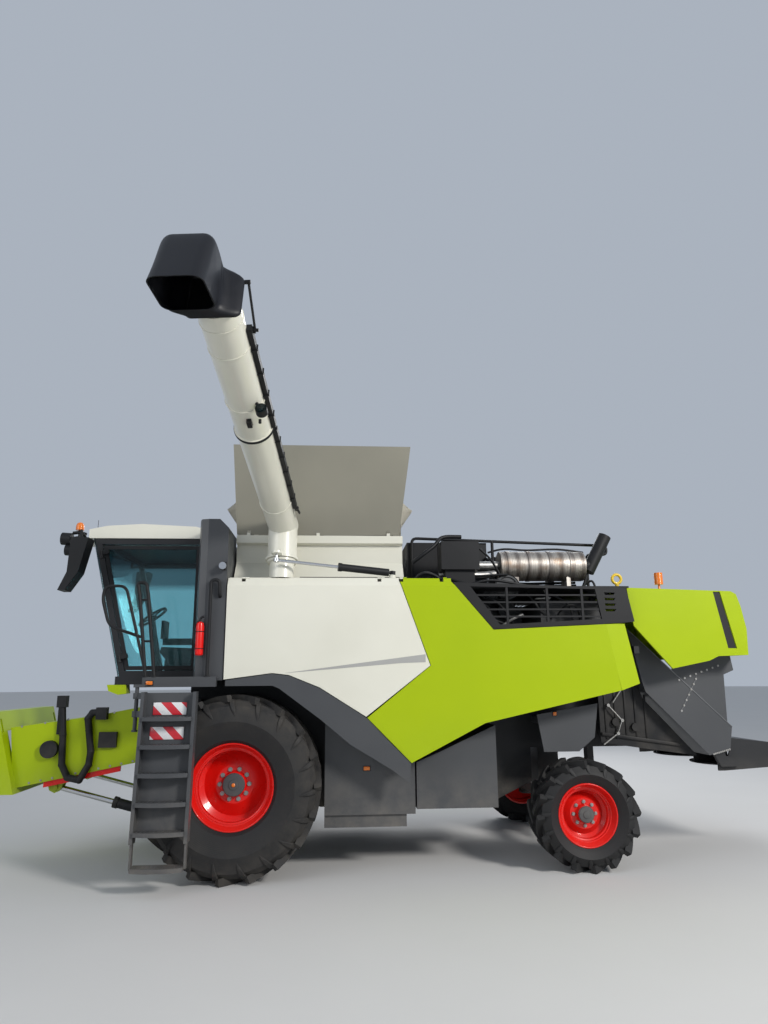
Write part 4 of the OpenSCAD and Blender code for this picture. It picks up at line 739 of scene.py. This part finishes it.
def eased(bm, faces, bevel):
    """Rounds the edges of these faces by bevel, in millimetres."""
    edges = list(dict.fromkeys(edge for face in faces for edge in face.edges))
    bmesh.ops.bevel(bm, geom=edges, offset=bevel / 1000, segments=2, affect="EDGES", profile=0.5)


def slab(bm, outline, y0, y1, bevel=0.0):
    """A plate cut to an outline in x and z and reaching from y0 to y1, with its edges eased by bevel."""
    faces = joined(bm, [marked(bm, [(x, y, z) for x, z in outline]) for y in (y0, y1)])
    if bevel:
        eased(bm, faces, bevel)


BOARD_WIDE, BOARD_HIGH = 336, 123
BOARDS = (("upper_marker_board", -792, 1652), ("lower_marker_board", -806, 1414))
for name, left, low in BOARDS:
    right, high = left + BOARD_WIDE, low + BOARD_HIGH
    outline = ((left, low), (right, low), (right, high), (left, high))
    bm = bmesh.new()
    faces = joined(bm, [marked(bm, [(x, rail_y(z) + y, z) for x, z in outline]) for y in (-22, -14)])
    eased(bm, faces, 3)
    made(name, bm, barred(name + "_sheet"), "ladder_body")
bm = bmesh.new()
for _, left, low in BOARDS:
    for x in (left + 10, left + BOARD_WIDE - 10):
        slab(bm, [(x - 16, low - 10), (x + 16, low - 10), (x + 16, low + BOARD_HIGH + 10),
                  (x - 16, low + BOARD_HIGH + 10)], rail_y(low) - 13, rail_y(low) - 2)
made("marker_board_holders", bm, slate, "ladder_body")


# Step nosings of the ladder: a curved chequered edge, pressed from sheet steel and painted slate, is welded
# on the front of every step, and low bars across the tread keep a boot from slipping.
def block(bm, low, high, bevel=0.0):
    outline = [(low[0], low[2]), (high[0], low[2]), (high[0], high[2]), (low[0], high[2])]
    slab(bm, outline, low[1], high[1], bevel)


bm = bmesh.new()
# The lowest step, then the five above it: height, front edge, and the ends in x.
for z, front, x0, x1 in [(230, -2041, -873, -379)] + [(z, rail_y(z) - 141, -864, -385)
                                                      for z in range(545, 1606, 265)]:
    outline = [(x0 + (x1 - x0) * k / 20, front - 46 * (1 - (2 * k / 20 - 1) ** 2)) for k in range(21)]
    outline += [(x1, front + 8), (x0, front + 8)]
    joined(bm, [marked(bm, [(x, y, level) for x, y in outline]) for level in (z - 6, z + 34)])
    for k in range(1, 12):
        x = x0 + (x1 - x0) * k / 12
        block(bm, (x - 5, front - 20, z + 33), (x + 5, front + 96, z + 37.5))
made("step_nosings", bm, slate, "ladder_body")


# Engine bay behind the open grille: belt pulleys, rubber belts, hoses and pipes on the engine's left side.
# The pulleys are turned and painted, and the lines are rubber hose and bent steel pipe.
def pulley(bm, x, z, r):
    face, wide = -1190, 60
    steps = [(r * 0.16, 14), (r * 0.22, 14), (r * 0.30, 2), (r * 0.62, -8), (r * 0.74, -8), (r * 0.80, 6),
             (r * 0.92, 6), (r * 0.93, -6), (r * 0.99, -6), (r, 4), (r, -wide)]
    turned(bm, (x, face, z), "y", steps, 40, way=-1)


bm = bmesh.new()
for x, z, r, shaft in ((2545, 3010, 150, 40), (3085, 3040, 150, 40), (2870, 2930, 92, 30),
                       (2760, 2740, 120, 30)):
    pulley(bm, x, z, r)
    tube(bm, [(x, -1150, z), (x, -880, z)], shaft, 16, 1)
made("belt_pulleys", bm, castings, "chassis")
bm = bmesh.new()
for z, rise in ((2858, 40), (3158, 26)):
    for y in (-1205, -1225):
        tube(bm, [(2545, y, z), (3085, y, z + rise)], 11, 8, 1)
# Each hose, and each pipe below: its radius, then the points that it runs through.
for r, *path in (
        (19, (2320, -1250, 2990), (2480, -1330, 2880), (2760, -1350, 2690), (2980, -1330, 2600)),
        (15, (2700, -1300, 2960), (2900, -1380, 2840), (3020, -1400, 2700), (3090, -1360, 2590)),
        (17, (3260, -1260, 3000), (3340, -1350, 2860), (3420, -1350, 2740), (3560, -1300, 2660)),
        (13, (3500, -1250, 2980), (3620, -1370, 2900), (3760, -1360, 2800), (3800, -1330, 2640)),
        (11, (3640, -1280, 2700), (3700, -1380, 2790), (3820, -1370, 2800), (3880, -1330, 2700),
         (3890, -1300, 2600)),
        (16, (2420, -1240, 3120), (2600, -1310, 3060), (2860, -1330, 3100), (3200, -1290, 3060),
         (3420, -1250, 3010)),
        (24, (1960, -1180, 3330), (2080, -1230, 3420), (2220, -1210, 3530), (2330, -1150, 3640),
         (2560, -1120, 3655)),
        (20, (1940, -1270, 3080), (2060, -1330, 3180), (2200, -1310, 3160), (2330, -1290, 3060)),
        (13, (2760, -1200, 3500), (2900, -1150, 3380), (3020, -1080, 3210), (3120, -1050, 3040))):
    tube(bm, path, r)
made("engine_hoses", bm, black, "chassis")
bm = bmesh.new()
for r, *path in (
        (24, (2390, -1330, 2930), (2600, -1345, 2890)),
        (12, (2600, -1345, 2890), (2700, -1350, 2850)),
        (16, (2940, -1380, 2560), (3060, -1390, 2640), (3200, -1390, 2700)),
        (40, (2300, -1020, 3200), (2480, -1060, 3230), (2740, -1050, 3200), (2990, -960, 3230)),
        (52, (2620, -980, 3330), (2760, -960, 3330), (3060, -860, 3345)),
        (11, (3380, -1290, 2890), (3560, -1300, 2900)),
        (11, (3480, -1320, 2990), (3540, -1340, 2880))):
    tube(bm, path, r)
made("engine_pipes", bm, zinc, "chassis")


# Air cleaner and its trunking on the engine deck, behind the exhaust can: a ribbed canister of black moulded
# plastic on two saddles, a rubber elbow to the cooler housing, and bundles of corrugated conduit along it.
DECK = 3005.3
CAN_Y, CAN_Z = -330, 3390
bm = bmesh.new()
for k in range(27):
    tube(bm, [(3120 + 36 * k, CAN_Y, CAN_Z), (3138 + 36 * k, CAN_Y, CAN_Z)], 158, 32, 1)
tube(bm, [(3100, CAN_Y, CAN_Z), (4080, CAN_Y, CAN_Z)], 150, 32, 1)
tube(bm, [(4080, CAN_Y, CAN_Z), (4108, CAN_Y, CAN_Z)], 120, 32, 1)
for x in (3300, 3860):
    block(bm, (x - 30, CAN_Y - 110, DECK), (x + 30, CAN_Y + 110, 3250), 6)
tube(bm, [(2985, CAN_Y, 3340), (3060, CAN_Y, 3352), (3125, CAN_Y, CAN_Z)], 92, 24, 5)
for k, (y, z) in enumerate(((-620, 3070), (-650, 3110), (-628, 3150))):
    tube(bm, [(2992, y + 40, z + 90), (3100, y, z + 20 * k), (3400, y - 6, z), (3760, y + 8, z + 8),
              (4100, y, z + 14)], 17, 10)
for r, *path in (
        (22, (2970, -560, 3480), (3010, -640, 3420), (3050, -650, 3250), (3020, -640, 3070),
         (3090, -600, 3010)),
        (26, (2700, -548, 3300), (2820, -600, 3180), (2950, -640, 3130), (3080, -620, 3240),
         (3120, -420, 3330)),
        (13, (3000, -560, 3560), (3200, -600, 3600), (3500, -610, 3585), (3900, -600, 3600),
         (4240, -600, 3560)),
        (14, (4100, -560, 3010), (4180, -640, 3100), (4290, -690, 3180), (4330, -700, 3080),
         (4300, -640, 3010)),
        (18, (2060, -560, 3010), (2120, -640, 3120), (2240, -660, 3220), (2330, -600, 3120),
         (2420, -560, 3010))):
    tube(bm, path, r)
made("air_cleaner", bm, black, "chassis")


# Exhaust tail pipe: a black enamelled elbow that rises behind the can, cut open at its top, with a bracket
# down to the deck. The can's sheet steel has ribs pressed in it between its bands.
EXHAUST_Y, EXHAUST_Z = -800, 3345
bm = bmesh.new()
tube(bm, [(4212, EXHAUST_Y, 3283), (4222, EXHAUST_Y, 3300), (4440, EXHAUST_Y, 3690), (4466, EXHAUST_Y, 3737)],
     80, 32, 1, open_end=44)
tube(bm, [(4129, EXHAUST_Y, EXHAUST_Z), (4160, EXHAUST_Y, 3349), (4225, EXHAUST_Y, 3362)], 74, 28, 3)
tube(bm, [(4190, EXHAUST_Y, 3347), (4190, EXHAUST_Y, 3230), (4150, EXHAUST_Y, 3110), (4080, EXHAUST_Y, 3009)],
     20, 12)
made("tail_pipe", bm, black, "chassis")
bm = bmesh.new()
for start, pitch, count in ((3095, 22, 3), (3222, 20, 9), (3482, 20, 9), (3742, 20, 9), (4002, 22, 6)):
    for k in range(count):
        turned(bm, (start + pitch * k, EXHAUST_Y, EXHAUST_Z), "x",
               [(179.6, -7), (184, -4), (184, 4), (179.6, 7)], 64, closed=True)
made("exhaust_ribs", bm, can_steel, "chassis")


# Grey stripe on the left cream panel: a thin printed film that widens towards the rear and ends at the lime
# panel's edge. It lies on the panel's own surface and lifts with it.
film = paint("grey_film", (0.36, 0.36, 0.345), (0.33, 0.33, 0.315), rough=0.34, lacquer=0.2)
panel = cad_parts["left_cream_panel"]
to_panel = panel.matrix_world.inverted()
STRIPE_FRONT, STRIPE_REAR, STRIPE_KINK = 518, 2036, 1755
proud, thick = Vector((0, 0.0022, 0)), Vector((0, 0.0018, 0))
bm = bmesh.new()
rings = []
for k in range(41):
    x = STRIPE_FRONT + (STRIPE_REAR - STRIPE_FRONT) * k / 40
    top = 2061 + (x - STRIPE_FRONT) * 0.1245
    low = 2059.5 + (x - STRIPE_FRONT) * 0.0785 if x < STRIPE_KINK else 2156.6 + (x - STRIPE_KINK) * 0.03
    outer = []
    for j in range(5):
        start = to_panel @ spot(x, -2500, low + (top - low) * j / 4)
        place = panel.ray_cast(start, (0, 1, 0), distance=1.5)[1]
        outer.append(panel.matrix_world @ place - proud)
    rings.append([bm.verts.new(place) for place in outer + [place + thick for place in reversed(outer)]])
joined(bm, rings)
made("left_panel_stripe", bm, film, "left_front_panel_body")


# Lifting eye of the engine deck: a forged steel ring on a threaded shank, screwed into the frame below and
# painted yellow.
yellow = paint("lifting_yellow", (0.72, 0.50, 0.01), (0.62, 0.42, 0.01), rough=0.35)
EYE_X, EYE_Y, EYE_Z, EYE_R = 4311, -1450, 3100, 52
bm = bmesh.new()
ring = [(EYE_X + EYE_R * math.cos(a), EYE_Y, EYE_Z + EYE_R * math.sin(a)) for a in circle(28) + [2 * math.pi]]
tube(bm, ring, 17, 12, 1)
tube(bm, [(EYE_X, EYE_Y, 2975), (EYE_X, EYE_Y, 3045)], 22, 16, 1)
made("lifting_eye", bm, yellow, "chassis")


# Dark recess in each side of the rear hood: an air slot cut in the lime sheet and backed with a black
# moulded insert, which shows as one slanted strip.
for side, label in ((-1, "left"), (1, "right")):
    bm = bmesh.new()
    slab(bm, [(5429, 2946), (5507, 2946), (5634, 2304), (5538, 2304)], side * 1489.5, side * 1487)
    made(label + "_hood_slot", bm, black, "chassis")


# Trim of the straw chute: a folded edge and a rib on the steel sheet, painted light slate as a painted
# highlight where the edge catches the light, and rows of zinc-plated bolts hold it to its frame.
def bolt_rows(name, y, body, rows):
    """Rows of bolt heads on a wall at y. A row is count, first (x, z), last (x, z), head radius in metres."""
    bm = bmesh.new()
    for count, first, last, radius in rows:
        step = Vector((last[0] - first[0], 0, last[1] - first[1])) / 1000 / (count - 1)
        bm.from_mesh(grown(name, nut_row, count=count, start=tuple(spot(first[0], y, first[1])),
                           step=tuple(step), turn=FACING_SIDE, head_radius=radius, head_height=0.008))
    mesh = bpy.data.meshes.new(name)
    bm.to_mesh(mesh)
    bm.free()
    new_piece(name, mesh, zinc, body)


# Light slate for the trim: a painted highlight along the chute's folded edge and rib.
edge_highlight_paint = paint("worn_slate_edge", (0.16, 0.165, 0.17), (0.11, 0.115, 0.12), rough=0.3, lacquer=0.3)
nut_row = nut_tree("nut_row", zinc, False)
CHUTE_Y = -1181.5
bm = bmesh.new()
slab(bm, [(4506, 2540), (5652, 1425), (5649, 1416), (4502, 2531)], CHUTE_Y - 4, CHUTE_Y + 2)
slab(bm, [(5050, 1584), (5055, 1580), (5293, 1984), (5288, 1990)], CHUTE_Y - 2, CHUTE_Y + 2)
made("chute_edge_trim", bm, edge_highlight_paint, "chassis")
bolt_rows("chute_bolts", CHUTE_Y - 4, "chassis", ((7, (5066, 1604), (5276, 1962), 0.009),
                                                  (10, (5395, 1122), (5590, 1170), 0.008),
                                                  (8, (5070, 1950), (5560, 2112), 0.009)))


# Cleaning shoe behind the rear wheels: a black side wall of the shoe on each side, with pressed ribs and
# turned bosses, and its hanger links of bare steel bar on their pins. The black walls are also painted shade:
# they darken the shadowed cavity under the chute.
WALL = 1009
bm = bmesh.new()
for side in (-1, 1):
    slab(bm, [(4150, 1250), (5290, 1090), (4690, 1740), (4600, 2010), (4150, 2010)], side * 1010, side * 1002)
    for k in range(5):
        x = 4210 + 120 * k
        slab(bm, [(x, 1290), (x + 26, 1290), (x + 26, 1960), (x, 1960)], side * 1022, side * WALL, 4)
    slab(bm, [(4160, 1330), (5080, 1200), (5060, 1236), (4160, 1368)], side * 1034, side * WALL, 4)
    for x, z in ((4330, 1480), (4560, 1420)):
        tube(bm, [(x, side * WALL, z), (x, side * 1052, z)], 46, 20, 1)
# Painted shade: the walls take the black material so that the cavity under the chute reads as shadow.
made("cleaning_shoe_walls", bm, black, "chassis")
bm = bmesh.new()
for side in (-1, 1):
    for r, *path in ((9, (4243, 1671), (4397, 1499)), (7, (4397, 1499), (4337, 1354)),
                     (9, (4337, 1354), (4160, 1232)), (9, (4520, 1980), (4300, 1700))):
        tube(bm, [(x, side * 1062, z) for x, z in path], r, 12, 1)
    for x, z in ((4243, 1671), (4397, 1499), (4337, 1354)):
        tube(bm, [(x, side * WALL, z), (x, side * 1078, z)], 18, 16, 1)
made("shoe_hanger_links", bm, zinc, "chassis")


# Orange side reflectors and the platform's marker lamp: moulded plastic lenses, clipped into shallow black
# frames that are screwed to the side.
lenses, holders = bmesh.new(), bmesh.new()
# The place of each, then half the width and height of its lens and of its frame.
for x, y, z, lens, holder in ((1406, -1301, 1042, (34, 20), (42, 28)),
                              (3544, -1252, 1592, (20, 20), (27, 27)),
                              (-885, -1681, 1968, (34, 19), (42, 26))):
    block(lenses, (x - lens[0], y - 9, z - lens[1]), (x + lens[0], y, z + lens[1]), 4)
    block(holders, (x - holder[0], y - 4, z - holder[1]), (x + holder[0], y + 0.5, z + holder[1]), 1.5)
made("side_reflectors", lenses, amber, "chassis")
made("reflector_frames", holders, black, "chassis")


# Grab rails at the cab's door and round the engine deck: round steel tube with wide cold bends, powder-coated
# black, on small welded feet. The rungs between them are thinner rod.
def rounded(points, radius):
    """The line through the points, with an arc of about this radius at each bend."""
    line = [Vector(p) for p in points]
    out = [line[0]]
    for back, place, on in zip(line, line[1:], line[2:]):
        back, on = back - place, on - place
        cut = min(radius, back.length * 0.48, on.length * 0.48)
        a, b = place + back.normalized() * cut, place + on.normalized() * cut
        out += [a * (1 - t) ** 2 + 2 * place * t * (1 - t) + b * t * t for t in (k / 6 for k in range(7))]
    return out + [line[-1]]


SIDE, DECK_LEFT, DECK_RIGHT, PLATFORM = -1657, -572, 1060, 2030.3
bm = bmesh.new()
# Each rail: its radius, the radius of its bends, then its points from end to end.
for r, bend, *path in (
        (19, 60, (-845, SIDE, PLATFORM), (-962, SIDE, 2900), (-990, SIDE, 3026), (-1082, SIDE, 3026),
         (-1052, SIDE, 2900), (-937, SIDE, PLATFORM)),
        (12, 0, (-985, SIDE, 2400), (-895, SIDE, 2400)),
        (12, 0, (-1042, SIDE, 2840), (-954, SIDE, 2840)),
        (16, 85, (-944, SIDE, 2095), (-1202, SIDE, 2992), (-1420, SIDE, 2985), (-1440, SIDE, 2850),
         (-1350, SIDE, 2560), (-990, SIDE, 2440)),
        (19, 45, (-300, SIDE, PLATFORM), (-300, SIDE, 3056), (-212, SIDE, 3056), (-206, -1640, 2900),
         (-206, -1602, 2880)),
        (19, 70, (2020, DECK_LEFT, DECK), (2020, DECK_LEFT, 3740), (4560, DECK_LEFT, 3655),
         (4560, DECK_LEFT, 3540), (4290, DECK_LEFT, 3540), (4290, DECK_LEFT, DECK)),
        (19, 0, (3060, DECK_LEFT, DECK), (3060, DECK_LEFT, 3700)),
        (19, 70, (1980, DECK_RIGHT, DECK), (1980, DECK_RIGHT, 3640), (3640, DECK_RIGHT, 3640),
         (3640, DECK_RIGHT, DECK)),
        (19, 0, (2820, DECK_RIGHT, DECK), (2820, DECK_RIGHT, 3636))):
    tube(bm, rounded(path, bend), r, 14, 1)
    for x, y, z in (path[0], path[-1]):
        if z in (PLATFORM, DECK):
            tube(bm, [(x, y, z), (x, y, z + 8)], 36, 20, 1)
rails = made("grab_rails", bm, black, "chassis")
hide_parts("handrails")


# Roof-corner lamps: a pair of round work lamps in black moulded housings, with lenses of tinted glass, on a
# bent bracket that is bolted under the cab's roof.
LAMP_Y = -930
bm = bmesh.new()
for x, z, r in ((-2150, 3640, 74), (-2096, 3505, 66)):
    tube(bm, [(x + 66, LAMP_Y, z - 4), (x, LAMP_Y, z), (x - 44, LAMP_Y, z + 3)], r, 28, 1, open_end=16)
tube(bm, [(-2010, -900, 3755), (-2010, -900, 3640)], 16, 12, 1)
tube(bm, [(-2084, -905, 3716), (-2000, -905, 3722), (-1930, -905, 3700)], 20, 12, 3)
tube(bm, [(-2100, -925, 3640), (-2040, -905, 3660), (-1960, -880, 3672)], 18, 12, 3)
tube(bm, [(-2060, -925, 3505), (-1990, -905, 3560), (-1940, -890, 3650)], 16, 12, 3)
tube(bm, [(-1900, -610, 3755), (-1896, -610, 3940)], 3, 8, 1)
made("roof_corner_lamps", bm, black, "chassis")
for label, x, z, r in (("upper", -2178, 3643, 63), ("lower", -2124, 3508, 56)):
    bm = bmesh.new()
    turned(bm, (x, LAMP_Y, z), "x", [(r, 0), (r * 0.8, 6), (r * 0.3, 10)], 28, way=-1)
    made(label + "_lamp_glass", bm, glass, "chassis")


# Roof beacon: a domed lens of clear orange plastic, turned over a flashing lamp on the stalk beside the
# roof's corner.
bm = bmesh.new()
turned(bm, (-2010, -900, 3752), "z", [(46, 0), (48, 8), (47, 52), (40, 76), (22, 92), (4, 96)], 32)
made("roof_beacon", bm, amber, "chassis")


# Fire extinguisher beside the door's grab rail: a drawn steel bottle, painted red, with a black head and
# hose, held by two steel straps. The work lamp above it stands on a bent arm.
BOTTLE_X, BOTTLE_Y = -395, -1652
bm = bmesh.new()
turned(bm, (BOTTLE_X, BOTTLE_Y, 0), "z", [(34, 2250), (43, 2262), (43, 2560), (36, 2590), (16, 2604)], 28)
made("fire_extinguisher", bm, red, "chassis")
bm = bmesh.new()
tube(bm, [(BOTTLE_X, BOTTLE_Y, 2600), (BOTTLE_X, BOTTLE_Y, 2640), (-360, BOTTLE_Y, 2660)], 12, 12, 3)
tube(bm, [(-400, -1640, 2620), (-450, -1650, 2560), (-452, -1650, 2380), (-430, -1650, 2300)], 9, 10)
for z in (2320, 2500):
    tube(bm, [(BOTTLE_X + 46 * math.cos(a), BOTTLE_Y + 46 * math.sin(a), z)
              for a in circle(28) + [2 * math.pi]], 4, 8, 1)
tube(bm, [(-178, -1602, 3180), (-178, -1650, 3190), (-178, -1658, 3206)], 9, 12, 3)
tube(bm, [(-200, -1662, 3212), (-146, -1662, 3206)], 46, 28, 1)
made("extinguisher_head_and_lamp_arm", bm, black, "chassis")
bm = bmesh.new()
tube(bm, [(-178, -1700, 3206), (-178, -1712, 3206)], 40, 28, 1)
made("work_lamp_reflector", bm, rod_steel, "chassis")


# Bolts of the feeder house: a row of zinc-plated hexagons along its lower flange, and a shorter one along
# the stiffener above.
bolt_rows("feeder_bolts", -723, "feeder", ((12, (-2380, 878), (-1000, 1142), 0.009),
                                           (6, (-2520, 1490), (-1240, 1672), 0.009)))


# Floor of the studio: one wide sheet of pale, slightly clouded matt board under the wheels, which is no
# part of the machine.
def pale_floor(name):
    f = Finish(name)
    return f.set(base_color=f.blend(f.noise(0.6, 4), (0.60, 0.595, 0.585), (0.56, 0.555, 0.545)),
                 roughness=0.85 + f.noise(4.0, 3) * 0.05)


bm = bmesh.new()
bmesh.ops.create_circle(bm, cap_ends=True, segments=96, radius=140)
mesh = bpy.data.meshes.new("studio_floor")
bm.to_mesh(mesh)
bm.free()
floor = bpy.data.objects.new("studio_floor", mesh)
floor.location = (0, 0, -0.002)
bpy.context.scene.collection.objects.link(floor)
floor.data.materials.append(pale_floor("pale_floor"))
